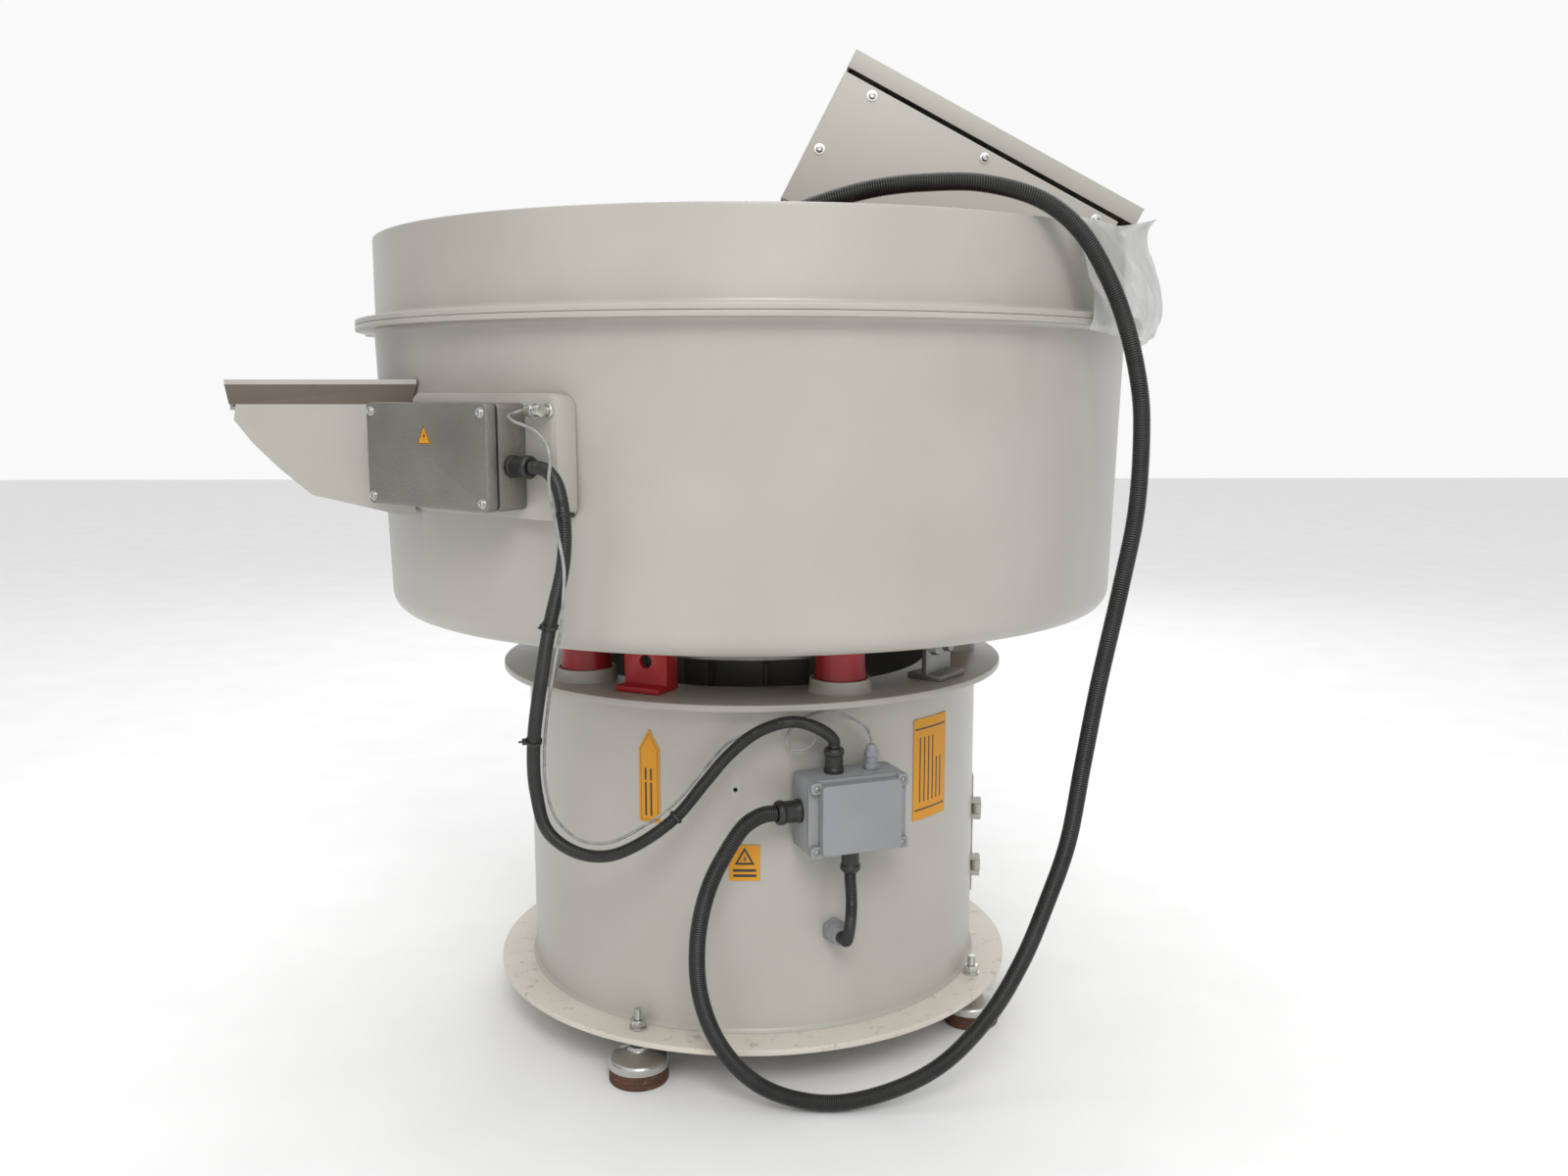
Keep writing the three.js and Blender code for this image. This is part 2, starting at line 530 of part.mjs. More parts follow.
function buildTerminalBox() {
  const { azimuth, w, h, body: depth, z, r } = TERMINAL;
  const box = station(azimuth, r + GAP, z);
  const body = cut(
    roundedPlate(w, h, 7, -depth, 0),
    block(-w / 2 + 5, w / 2 - 5, -depth - 1, -5, -h / 2 + 5, h / 2 - 5),
  );
  add('terminal_box', body, castAluminium, box);
  const seal = cut(
    roundedPlate(w - 3, h - 3, 6, -depth - 2.6, -depth - GAP),
    block(-w / 2 + 9, w / 2 - 9, -depth - 5, 0, -h / 2 + 9, h / 2 - 9),
  );
  add('terminal_box_seal', seal, blackPlastic, box);
  const lidBack = -depth - 2.9;
  const face = lidBack - TERMINAL.lid;
  const lid = join(
    roundedPlate(w, h, 7, face, lidBack),
    ...cornerScrews(w, h, 10, 4.5, face - 4, face + 2),
  );
  add('terminal_box_lid', lid, castAluminium, box);
  addGland('terminal_box_gland', MOTOR_CONDUIT_R, blackPlastic, box,
    [w / 2 + GAP, TERMINAL_GLAND.y, TERMINAL_GLAND.z], [1, 0, 0]);
}

// ---- junction box on the pedestal --------------------------------------------------------------
function buildJunctionBox() {
  const { azimuth, w, h, body, lid, z, r } = JUNCTION;
  const box = station(azimuth, r, z);
  const shell = cut(
    roundedPlate(w, h, 6, -body, -4),
    block(-w / 2 + 4, w / 2 - 4, -body - 1, -8, -h / 2 + 4, h / 2 - 4),
  );
  const feet = [-40, 40].map((x) => block(x - 6, x + 6, -5, -0.8, -h / 2 + 10, h / 2 - 10));
  const boxBody = add('junction_box', join(shell, ...feet), greyPlastic, box);
  boxBody.position.y = -0.9;
  const face = -body - GAP - lid;
  const cover = join(
    roundedPlate(w, h, 6, -body - GAP - 8, -body - GAP),
    roundedPlate(w - 26, h - 8, 6, face, -body - GAP - 7),
    ...cornerScrews(w, h, 8, 4, -body - GAP - 12, -body - GAP - 6),
  );
  add('junction_box_lid', cover, greyPlastic, box).position.y = -0.9;

  const middle = -body / 2 - 5;
  const { topBlack, topGrey, below, side } = JUNCTION_GLANDS;
  const top = h / 2 + GAP;
  addGland('gland_top_black', MOTOR_CONDUIT_R, blackPlastic, box, [topBlack, middle, top], [0, 0, 1]);
  addGland('gland_top_grey', WIRE_R + 2, greyPlastic, box, [topGrey, middle, top], [0, 0, 1]);
  addGland('gland_side_black', MAIN_R, blackPlastic, box, [-w / 2 - GAP, middle, side], [-1, 0, 0]);
  addGland('gland_bottom_black', MOTOR_CONDUIT_R, blackPlastic, box, [below, middle - 6, -top], [0, 0, -1]);

  const wall = station(WALL_GLAND.azimuth, PEDESTAL.r + 1, WALL_GLAND.z);
  const wallGland = join(
    new THREE.CylinderGeometry(17, 17, 8, 6).translate(0, -4, 0),
    new THREE.CylinderGeometry(15, 15, 12, 16).translate(0, -13, 0),
    new THREE.CylinderGeometry(12, 12, 10, 16).translate(0, -23, 0),
    new THREE.CylinderGeometry(9, 9, 12, 16).translate(0, 5, 0),
  );
  add('wall_gland', wallGland, greyPlastic, wall);
}

// ---- control cabinet ---------------------------------------------------------------------------
// local frame: X down the slope, Y across, Z out of the door; the origin is the door's upper left edge
function buildCabinet() {
  const cabinet = new THREE.Group();
  cabinet.rotation.y = radians(CABINET.slope);
  cabinet.position.set(CABINET_CORNER.x, 0, CABINET_CORNER.z);
  machine.add(cabinet);
  const { length, width, body, door, doorLength } = CABINET;
  const half = width / 2;
  const rimZ = -door - DOOR_GAP;
  const backZ = rimZ - body;

  const sideWindow = block(22, length - 22, -half - 1, -half + 5, backZ + 22, rimZ - 22);
  const tub = cut(
    block(0, length, -half, half, backZ, rimZ),
    block(2.5, length - 2.5, -half + 2.5, half - 2.5, backZ + 2.5, rimZ + 1),
    sideWindow,
  );
  const catchLip = block(2, 16, -30, 30, rimZ - 3, rimZ);
  add('cabinet_body', join(tub, catchLip), cabinetPaint, cabinet);

  const screws = [];
  for (const [x, depth] of SIDE_SCREWS) {
    screws.push(new THREE.CylinderGeometry(4.5, 5.5, 4, 8).translate(x, -half - 4, rimZ - depth));
  }
  const cover = block(2, length - 2, -half - 2.3, -half - GAP, backZ + 2, rimZ - 2);
  add('cabinet_side_cover', join(cover, ...screws), cabinetPaint, cabinet);

  const holes = [[90, 60, 11.4], [90, -60, 11.4], [190, 60, 5.4], [34, 0, 8.4]].map(([x, y, r]) =>
    rod(r, -door - 2, 2, x, y, 20));
  const tray = cut(
    block(0, doorLength, -half, half, -door, 0),
    block(2.5, doorLength - 2.5, -half + 2.5, half - 2.5, -door - 1, -2.5),
    ...holes,
  );
  add('cabinet_door', tray, cabinetPaint, cabinet);

  const mushroom = revolve([
    [0, -16], [11, -16], [11, 9], [20, 11], [20, 18], [15, 25], [0, 27],
  ], 20);
  add('emergency_stop_button', mushroom, buttonRed, cabinet).position.set(90, 60, 0);
  const push = revolve([[0, -14], [11, -14], [11, 8], [0, 8]], 20);
  add('start_button', push, buttonGreen, cabinet).position.set(90, -60, 0);
  const dial = join(rod(5, -12, 5, 0, 0, 16), rod(17, 2, 18, 0, 0, 20), block(-17, 3, -2, 2, 10, 21));
  add('speed_dial', dial, blackPlastic, cabinet).position.set(190, 60, 0);
  const key = join(rod(8, rimZ - 7, 4, 0, 0, 16), rod(12, 0.5, 4, 0, 0, 20),
    block(-6, 6, -8, 28, rimZ - 7, rimZ - 3.6), block(-3, 3, -10, 10, 3.5, 10));
  add('door_latch', key, zinc, cabinet).position.set(34, 0, 0);

  const chassis = block(40, length - 60, -150, 150, backZ + 5, backZ + 8);
  const drive = block(120, 250, -70, 70, backZ + 7, backZ + 90);
  const rail = block(60, 100, -120, 120, backZ + 7, backZ + 60);
  add('control_chassis', join(chassis, drive, rail), zinc, cabinet);
}

// height of the cabinet's sloping underside over a given x
function undersideAt(x) {
  const slope = radians(CABINET.slope);
  const depth = CABINET.door + DOOR_GAP + CABINET.body;
  const cornerX = CABINET_CORNER.x - depth * Math.sin(slope);
  const cornerZ = CABINET_CORNER.z - depth * Math.cos(slope);
  return cornerZ - (x - cornerX) * Math.tan(slope);
}

function buildCradle() {
  const { x0, x1, half, wall } = CRADLE;
  const base = CAP_Z + GAP;
  const outline = [
    [x0, base], [x1, base], [x1, undersideAt(x1) - 0.5], [60, undersideAt(60) - 0.5],
    [30, 1128], [x0, 1110],
  ];
  const hollow = [
    [x0 + wall, base - 2], [x1 - wall, base - 2], [x1 - wall, undersideAt(x1) - wall - 2],
    [61, undersideAt(61) - wall - 2], [30, 1128 - wall], [x0 + wall, 1110 - wall],
  ];
  const cableHole = new THREE.CylinderGeometry(9, 9, 20, 16).translate(-10, -half, 1068);
  const shell = cut(profileXZ(outline, -half, half), profileXZ(hollow, -half + wall, half - wall), cableHole);
  const entry = gland(MAIN_R).rotateX(Math.PI / 2).translate(-10, -half + 0.5, 1068);
  add('cabinet_cradle', join(shell, entry), cabinetPaint);
}

// ---- conduits and wire -------------------------------------------------------------------------
function localPoint(azimuth, r, z, x, y, dz) {
  const a = radians(azimuth);
  return [
    r * Math.sin(a) + x * Math.cos(a) - y * Math.sin(a),
    -r * Math.cos(a) + x * Math.sin(a) + y * Math.cos(a),
    z + dz,
  ];
}

function buildConduits() {
  const { azimuth, r, z, w, h, body } = JUNCTION;
  const { topBlack, topGrey, below, side } = JUNCTION_GLANDS;
  const middle = -body / 2 - 5;
  const glandTip = GLAND_LENGTH + 2 * GAP;
  const atJunction = (x, y, dz) => localPoint(azimuth, r, z, x, y, dz);
  const mainRoute = [
    atJunction(-w / 2 - glandTip, middle, side), atJunction(-w / 2 - glandTip - 16, middle, side),
    [-10, -392, 372], [-34, -402, 340], [-56, -406, 295], [-70, -408, 228],
    [-66, -408, 151], [-38, -408, 83], [11, -408, 34], [86, -408, 12], [160, -410, 24],
    [234, -412, 62], [295, -414, 130], [334, -416, 202], [362, -419, 279], [385, -421, 355],
    [400, -424, 455], [415, -426, 552], [438, -426, 672], [454, -424, 765], [458, -420, 857],
    [455, -418, 903], [439, -416, 973], [413, -418, 1035], [376, -421, 1090], [331, -425, 1122],
    [264, -424, 1140], [197, -418, 1141], [147, -415, 1136], [98, -408, 1125], [44, -388, 1108],
    [6, -348, 1090], [-9, -290, 1076], [-10, -225, 1069], [-10, -170, 1068],
    [-10, -CRADLE.half - GLAND_LENGTH, 1068],
  ];
  add('main_conduit', routed(mainRoute, MAIN_R, 8, 64), blackPlastic);

  const atTerminal = (x) =>
    localPoint(TERMINAL.azimuth, TERMINAL.r + GAP, TERMINAL.z, x, TERMINAL_GLAND.y, TERMINAL_GLAND.z);
  const motorRoute = [
    atTerminal(TERMINAL.w / 2 + glandTip), atTerminal(TERMINAL.w / 2 + glandTip + 10),
    [-224, -531, 819], [-212, -543, 806], [-205, -550, 780], [-203, -552, 750], [-206, -551, 716],
    [-223, -541, 650], [-238, -525, 578], [-252, -494, 503], [-256, -460, 436], [-246, -440, 381],
    [-214, -425, 350], [-179, -415, 342], [-144, -405, 352], [-96, -395, 384], [-60, -385, 425],
    [-29, -380, 460], [7, -375, 487], [50, -370, 498], [84, -362, 486],
    atJunction(topBlack, middle, h / 2 + glandTip + 8), atJunction(topBlack, middle, h / 2 + glandTip),
  ];
  add('motor_conduit', routed(motorRoute, MOTOR_CONDUIT_R, 8, 42), blackPlastic);

  const wallTip = PEDESTAL.r + 1 + WALL_GLAND.length + GAP;
  const supplyRoute = [
    atJunction(below, middle - 6, -h / 2 - glandTip), atJunction(below, middle - 6, -h / 2 - glandTip - 8),
    [125, -358, 255], [122, -366, 225], polar(WALL_GLAND.azimuth, wallTip + 18, WALL_GLAND.z + 2),
    polar(WALL_GLAND.azimuth, wallTip + 6, WALL_GLAND.z), polar(WALL_GLAND.azimuth, wallTip, WALL_GLAND.z),
  ];
  add('supply_conduit', routed(supplyRoute, MOTOR_CONDUIT_R, 8, 10), blackPlastic);

  const atElbow = (reach, out) => localPoint(
    TERMINAL.azimuth, 0, TERMINAL.z, ELBOW.x - 17 - reach, -TERMINAL_PAD.front - ELBOW.stand - out, ELBOW.z);
  const wireRoute = [
    atElbow(GAP, 0), atElbow(8, 0), [-263, -501, 881], [-267, -512, 878], [-260, -525, 873],
    [-245, -539, 868], [-230, -551, 861], [-218, -561, 846], [-215, -564, 830],
    [-217, -564, 812], [-216, -563, 794],
    [-212, -563, 772], [-207, -564, 744], [-203, -564, 716], [-205, -559, 685], [-210, -547, 650],
    [-226, -524, 578], [-240, -490, 503], [-244, -457, 436], [-234, -436, 392], [-208, -420, 363],
    [-178, -407, 356], [-147, -395, 366], [-98, -385, 398], [-62, -374, 438], [-32, -367, 470],
    [4, -359, 484], [46, -354, 490], [66, -351, 488], [77, -350, 480], [79, -349, 470],
    [71, -348, 460], [58, -347, 455], [46, -346, 459], [42, -345, 469], [48, -344, 483],
    [66, -343, 498], [96, -344, 504],
    [124, -341, 495], [143, -336, 482],
    atJunction(topGrey, middle, h / 2 + glandTip + 6), atJunction(topGrey, middle, h / 2 + glandTip),
  ];
  add('sensor_wire', routed(wireRoute, WIRE_R, 8, 60), wireClear);
}

buildFloorRing();
buildPedestalShell();
buildAccessDoor();
buildDeck();
buildSprings();
buildLevellingMounts();
buildTransportBrackets();
buildLabels();
buildBowlShell();
buildLining();
buildSplashRing();
buildHubCover();
buildMotor();
buildChute();
buildTerminalPad();
buildTerminalBox();
buildJunctionBox();
buildCabinet();
buildCradle();
buildConduits();

export default machine;
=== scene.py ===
"""Looks of a round vibratory finishing bowl on a spring pedestal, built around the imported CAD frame.

Shapes are laid out in millimetres around the bowl's axis, as in the CAD, and ROOT takes them to metres.
An azimuth is measured at the axis from the front (-Y), positive towards +X, in degrees.
"""

import math

import bmesh
import bpy
from mathutils import Matrix, Vector, noise


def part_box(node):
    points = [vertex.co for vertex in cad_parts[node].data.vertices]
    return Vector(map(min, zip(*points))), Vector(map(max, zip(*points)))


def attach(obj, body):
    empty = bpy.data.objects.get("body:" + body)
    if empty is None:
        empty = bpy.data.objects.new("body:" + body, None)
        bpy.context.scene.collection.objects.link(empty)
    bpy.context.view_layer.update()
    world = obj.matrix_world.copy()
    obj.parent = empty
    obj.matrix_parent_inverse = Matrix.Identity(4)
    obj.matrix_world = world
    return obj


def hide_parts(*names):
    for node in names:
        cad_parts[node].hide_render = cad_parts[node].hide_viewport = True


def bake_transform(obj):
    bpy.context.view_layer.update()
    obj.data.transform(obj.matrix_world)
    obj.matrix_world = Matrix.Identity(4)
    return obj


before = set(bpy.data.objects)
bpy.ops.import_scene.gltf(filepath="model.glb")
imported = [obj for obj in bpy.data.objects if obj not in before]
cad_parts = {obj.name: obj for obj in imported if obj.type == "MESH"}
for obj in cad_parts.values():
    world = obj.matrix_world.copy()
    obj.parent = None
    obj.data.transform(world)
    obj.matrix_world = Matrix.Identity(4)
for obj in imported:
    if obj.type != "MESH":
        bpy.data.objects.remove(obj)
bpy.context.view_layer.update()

# ---- dimensions in mm, around the bowl's axis ---------------------------------------------------
MM = 0.001
AXIS_X = sum(c.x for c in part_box("hub_cover")) / 2
ROOT = Matrix.Translation((AXIS_X, 0, 0)) @ Matrix.Scale(MM, 4)
GAP = 0.3
ROUND = 192            # facets of the pedestal's round plates
BOWL_ROUND = 256       # facets of the bowl
SMALL_ROUND = 40       # facets of screws, springs and glands
SHARP = math.radians(32)

FLANGE_R, SHELL_TOP_R, SHELL_BOTTOM_R = 553, 528, 517
SHELL_Z, FLANGE_Z, FLANGE_TOP = 604, 984, 991
SHELL_TAPER = 0.0315     # how much the lining's back narrows per mm of height
RING_R, RING_TOP = 526, 1106
PEDESTAL_R = 331
DECK_R, DECK_BORE, DECK_Z, DECK_TOP = 367, 255, 509, 518
FLOOR_RING_R, FLOOR_RING_BORE, FLOOR_RING_Z, FLOOR_RING_TOP = 382, 286, 62, 70
MOUNT_R, MOUNT_AZIMUTHS = 350, (-26, 64, 154, 244)
SPRING_PITCH_R, SPRING_R, SPRING_BORE, SPRING_TOP = 298, 34.5, 13, 603.5
SPRING_AZIMUTHS = [22.5 + 72 * i for i in range(5)]
TERMINAL_AZIMUTH, TERMINAL_R, TERMINAL_Z = -39.8, 530.3, 832
TERMINAL_W, TERMINAL_H, TERMINAL_BODY, TERMINAL_LID = 220, 120, 38, 14
TERMINAL_GLAND_Y, TERMINAL_GLAND_Z = -20, -10      # from the middle of the box's back
PAD_FRONT, ELBOW_X, ELBOW_Z, ELBOW_STAND, ELBOW_LENGTH = 529.5, 150, 52, 17, 17
JUNCTION_AZIMUTH, JUNCTION_R, JUNCTION_Z = 19.6, 333, 378
JUNCTION_W, JUNCTION_H, JUNCTION_BODY, JUNCTION_LID = 134, 98, 50, 24
TOP_BLACK, TOP_GREY, BELOW, SIDE = -21, 31, 0, 4   # x of the box's upright glands, height of its side gland
WALL_GLAND_AZIMUTH, WALL_GLAND_Z = 18.3, 205
GLAND_LENGTH = 32.6
CABINET_SLOPE, CABINET_X, CABINET_TOP = 27.6, 135, 1338
CABINET_HALF, CABINET_LENGTH, DOOR_LENGTH = 200, 405, 427
RIM_Z, BACK_Z = -30, -210          # the cabinet body's rim and back, in its own frame
CRADLE_HALF = 120
MAIN_R, MOTOR_CONDUIT_R, WIRE_R = 10.6, 7.9, 1.8
DOOR_FROM, DOOR_TO, DOOR_Z, DOOR_TOP = 82, 124, 150, 330
HINGE_R, HINGE_HEIGHTS = PEDESTAL_R + 9, (180, 268)
ARROW_LABEL, INSTRUCTION_LABEL, HAZARD_LABEL = (-24, 411), (46.5, 400), (-2, 302)     # azimuth, z
SHELL_WALL, SHELL_CORNER, HUB_R, HUB_WALL, HUB_TOP = 4.5, 30, 168, 5, 966
LINING_INNER, LINING_OUTER, LINING_THICK, LINING_ARC_Z, LINING_TOP = 184, 504, 12, 795, 990.6
CHUTE_NEAR, CHUTE_FAR, CHUTE_TOP = -325, -130, 919
MOUTH = (-560, -300, -320, -135, 780, 913)     # what the chute takes out of the bowl wall
SPLICE_AZIMUTH, SPLICE_HALF, SPLICE_R = -95, 16, 571     # where the rims are bolted together


def turn(axis, degrees):
    return Matrix.Rotation(math.radians(degrees), 4, axis)


def shift(x, y, z):
    return Matrix.Translation((x, y, z))


def station(azimuth, r=0.0, z=0.0):
    """Place whose -Y points outwards at an azimuth, on a radius."""
    a = math.radians(azimuth)
    return shift(r * math.sin(a), -r * math.cos(a), z) @ turn("Z", azimuth)


OUTWARDS = turn("X", 90)               # turns +Z to -Y
CABINET = shift(CABINET_X, 0, CABINET_TOP) @ turn("Y", CABINET_SLOPE)


def put(name, data):
    """A new object in the scene."""
    obj = bpy.data.objects.new(name, data)
    bpy.context.collection.objects.link(obj)
    return obj


# ---- camera -------------------------------------------------------------------------------------
def make_camera():
    data = bpy.data.cameras.new("camera")
    data.sensor_width = 36
    data.lens = 31.42
    data.clip_end = 60
    camera = put("camera", data)
    camera.location = (AXIS_X, -2.0293, 0.907)
    camera.rotation_euler = (math.radians(90 - 8.258), 0, math.radians(-1.324))
    bpy.context.scene.camera = camera


# ---- materials ----------------------------------------------------------------------------------
def node(tree, kind, values=(), **settings):
    """A shader node; values are (socket, number, colour or another node's output) pairs."""
    made = tree.nodes.new(kind)
    for name, value in settings.items():
        setattr(made, name, value)
    for socket, value in values:
        if isinstance(value, bpy.types.NodeSocket):
            tree.links.new(value, made.inputs[socket])
        else:
            made.inputs[socket].default_value = value
    return made


def ramp(tree, source, stops):
    made = node(tree, "ShaderNodeValToRGB", [("Fac", source)])
    elements = made.color_ramp.elements
    while len(elements) < len(stops):
        elements.new(0.5)
    for element, (at, level) in zip(elements, stops):
        element.position = at
        element.color = (*level, 1) if hasattr(level, "__len__") else (level, level, level, 1)
    return made.outputs["Color"]


def blend_colour(tree, factor, first, second, mode="MIX"):
    made = node(tree, "ShaderNodeMix", data_type="RGBA", blend_type=mode)
    sockets = [s for s in made.inputs if s.enabled]
    for socket, value in zip(sockets, (factor, first, second)):
        if isinstance(value, bpy.types.NodeSocket):
            tree.links.new(value, socket)
        else:
            socket.default_value = value
    return next(s for s in made.outputs if s.enabled)


def blank_material(name):
    """A new material's empty node tree, and the place in object space that its textures use."""
    material = bpy.data.materials.new(name)
    material.use_nodes = True
    tree = material.node_tree
    tree.nodes.clear()
    return material, tree, node(tree, "ShaderNodeTexCoord").outputs["Object"]


def look(name, low, high, rough, metallic=0.0, patch=6.0, grain=450.0, depth=0.05,
         dirt=None, dirt_scale=18.0, dirt_from=0.62, height=None, coat=0.0, stretch=None):
    """A procedural material: two tones in soft patches, a grainy relief, and dirt in blotches.

    low, high: the two tones; rough: range of roughness; patch, grain, dirt_scale: noise scales per
    metre; depth: relief in mm; dirt: its colour; dirt_from: the noise level where it starts;
    height: (z clean, z dirty) in metres, where the dirt also gathers; stretch: scale of the grain's axes.
    """
    material, tree, place = blank_material(name)
    grain_place = place
    if stretch:
        grain_place = node(tree, "ShaderNodeMapping", [("Vector", place), ("Scale", stretch)]).outputs[0]
    soft = node(tree, "ShaderNodeTexNoise", [("Vector", place), ("Scale", patch), ("Detail", 4.0)])
    fine = node(tree, "ShaderNodeTexNoise", [("Vector", grain_place), ("Scale", grain), ("Detail", 3.0)])
    colour = blend_colour(tree, ramp(tree, soft.outputs[0], [(0.32, 0.0), (0.68, 1.0)]),
                          (*low, 1), (*high, 1))
    roughness = ramp(tree, soft.outputs[0], [(0.3, rough[0]), (0.7, rough[1])])
    if dirt:
        blot = node(tree, "ShaderNodeTexNoise",
                    [("Vector", place), ("Scale", dirt_scale), ("Detail", 9.0), ("Roughness", 0.72)])
        amount = blot.outputs[0]
        if height:
            z = node(tree, "ShaderNodeSeparateXYZ", [(0, place)]).outputs["Z"]
            rise = node(tree, "ShaderNodeMapRange", [
                ("Value", z), ("From Min", height[0]), ("From Max", height[1]),
                ("To Min", 0.0), ("To Max", 0.3)]).outputs[0]
            amount = node(tree, "ShaderNodeMath", [(0, amount), (1, rise)], operation="ADD").outputs[0]
        mask = ramp(tree, amount, [(dirt_from, 0.0), (dirt_from + 0.16, 0.8)])
        colour = blend_colour(tree, mask, colour, (*dirt, 1))
        roughness = blend_colour(tree, mask, roughness, (0.85, 0.85, 0.85, 1))
    bump = node(tree, "ShaderNodeBump", [
        ("Height", fine.outputs[0]), ("Strength", 0.5), ("Distance", depth * MM)])
    surface = node(tree, "ShaderNodeBsdfPrincipled", [
        ("Base Color", colour), ("Roughness", roughness), ("Metallic", metallic),
        ("Coat Weight", coat), ("Coat Roughness", 0.25), ("Normal", bump.outputs[0])])
    node(tree, "ShaderNodeOutputMaterial", [("Surface", surface.outputs[0])])
    return material


def film_look():
    """Thin clear polyethylene: milky, whiter along its creases."""
    material, tree, place = blank_material("film_clear")
    streaks = node(tree, "ShaderNodeMapping", [
        ("Vector", place), ("Rotation", (0.0, math.radians(35), 0.0)), ("Scale", (1.0, 1.0, 0.3))])
    crease = node(tree, "ShaderNodeTexNoise", [
        ("Vector", streaks.outputs[0]), ("Scale", 17.0), ("Detail", 1.5), ("Distortion", 0.5)])
    milk = ramp(tree, crease.outputs[0],
                [(0.36, 0.52), (0.5, 0.58), (0.57, 0.70), (0.64, 0.62), (0.75, 0.55)])
    alpha = node(tree, "ShaderNodeRGBToBW", [(0, milk)]).outputs[0]
    tone = ramp(tree, crease.outputs[0], [(0.38, (0.50, 0.50, 0.475)), (0.66, (0.60, 0.60, 0.575))])
    bump = node(tree, "ShaderNodeBump", [
        ("Height", crease.outputs[0]), ("Strength", 0.25), ("Distance", 1 * MM)])
    surface = node(tree, "ShaderNodeBsdfPrincipled", [
        ("Base Color", tone), ("Roughness", 0.3), ("Alpha", alpha), ("Normal", bump.outputs[0])])
    node(tree, "ShaderNodeOutputMaterial", [("Surface", surface.outputs[0])])
    return material


LOOKS = {
    "painted_steel": look("paint_warm_grey", (0.395, 0.381, 0.340), (0.432, 0.418, 0.377), (0.3, 0.42),
                          grain=260, dirt=(0.33, 0.29, 0.22), dirt_scale=26, dirt_from=0.71, coat=0.15),
    "dusty_paint": look("paint_dusty", (0.60, 0.56, 0.485), (0.68, 0.64, 0.56), (0.45, 0.6),
                        dirt=(0.27, 0.22, 0.16), dirt_scale=42, dirt_from=0.56),
    "cabinet_paint": look("paint_cabinet", (0.405, 0.39, 0.345), (0.445, 0.43, 0.385), (0.48, 0.6),
                          grain=900, depth=0.12, dirt=(0.3, 0.27, 0.22), dirt_from=0.74),
    # The chute lip's dark brown tones are painted shade, standing for the shadow under the downward-facing
    # flare; only its blotches are dirt.
    "painted_shade_band": look("lip_painted_shade", (0.10, 0.08, 0.062), (0.145, 0.118, 0.092), (0.5, 0.65),
                       dirt=(0.08, 0.06, 0.04), dirt_from=0.6),
    "bare_steel": look("steel_mill", (0.25, 0.25, 0.25), (0.36, 0.355, 0.34), (0.35, 0.5), metallic=0.85,
                       grain=300, stretch=(1, 12, 1), dirt=(0.12, 0.09, 0.06), dirt_from=0.68),
    "cast_aluminium": look("aluminium_cast", (0.20, 0.193, 0.17), (0.27, 0.26, 0.23), (0.38, 0.52),
                           metallic=0.6, grain=420, depth=1.6, dirt=(0.2, 0.18, 0.15), dirt_from=0.7),
    "zinc_plate": look("zinc", (0.50, 0.50, 0.47), (0.66, 0.66, 0.63), (0.22, 0.38), metallic=0.9,
                       grain=700, dirt=(0.25, 0.21, 0.16), dirt_from=0.66),
    "black_plastic": look("nylon_black", (0.012, 0.012, 0.011), (0.022, 0.021, 0.020), (0.32, 0.46),
                          grain=900),
    "conduit_plastic": look("conduit_black", (0.012, 0.012, 0.011), (0.022, 0.021, 0.020), (0.30, 0.42),
                            patch=30, grain=900, dirt=(0.11, 0.10, 0.085), dirt_scale=60, dirt_from=0.64),
    "grey_plastic": look("abs_grey", (0.225, 0.235, 0.245), (0.262, 0.272, 0.283), (0.38, 0.48), grain=1400,
                         depth=0.06, dirt=(0.2, 0.18, 0.15), dirt_from=0.72),
    "wire_sleeve": look("sleeve_clear_grey", (0.17, 0.17, 0.16), (0.34, 0.34, 0.32), (0.22, 0.34),
                        patch=60, grain=1500, coat=0.5),
    "label_film": look("vinyl_yellow", (0.58, 0.245, 0.003), (0.66, 0.29, 0.005), (0.42, 0.55), grain=500,
                       dirt=(0.3, 0.16, 0.03), dirt_from=0.66),
    "label_black": look("print_black", (0.016, 0.015, 0.014), (0.03, 0.028, 0.025), (0.35, 0.45)),
    "spring_red": look("polyurethane_red", (0.27, 0.008, 0.012), (0.36, 0.014, 0.018), (0.3, 0.42),
                       patch=20, grain=500, dirt=(0.09, 0.03, 0.02), dirt_from=0.66),
    "red_paint": look("paint_red", (0.40, 0.010, 0.014), (0.5, 0.016, 0.02), (0.3, 0.42), grain=500,
                      dirt=(0.12, 0.04, 0.03), dirt_from=0.68),
    "mount_rubber": look("rubber_brown", (0.055, 0.022, 0.012), (0.115, 0.048, 0.024), (0.7, 0.9), patch=40,
                         grain=600, depth=0.5, dirt=(0.2, 0.14, 0.09), dirt_scale=120, dirt_from=0.56),
    "bowl_polyurethane": look("lining_brick_red", (0.25, 0.045, 0.018), (0.33, 0.068, 0.027), (0.36, 0.52),
                              patch=9, grain=160, depth=0.5, dirt=(0.36, 0.28, 0.2), dirt_scale=9,
                              dirt_from=0.6, height=(0.72, 0.62)),
    "button_red": look("gloss_red", (0.50, 0.010, 0.010), (0.58, 0.015, 0.012), (0.2, 0.28), coat=0.4),
    "button_green": look("gloss_green", (0.01, 0.22, 0.05), (0.015, 0.28, 0.07), (0.2, 0.28), coat=0.4),
    "film": film_look(),
}


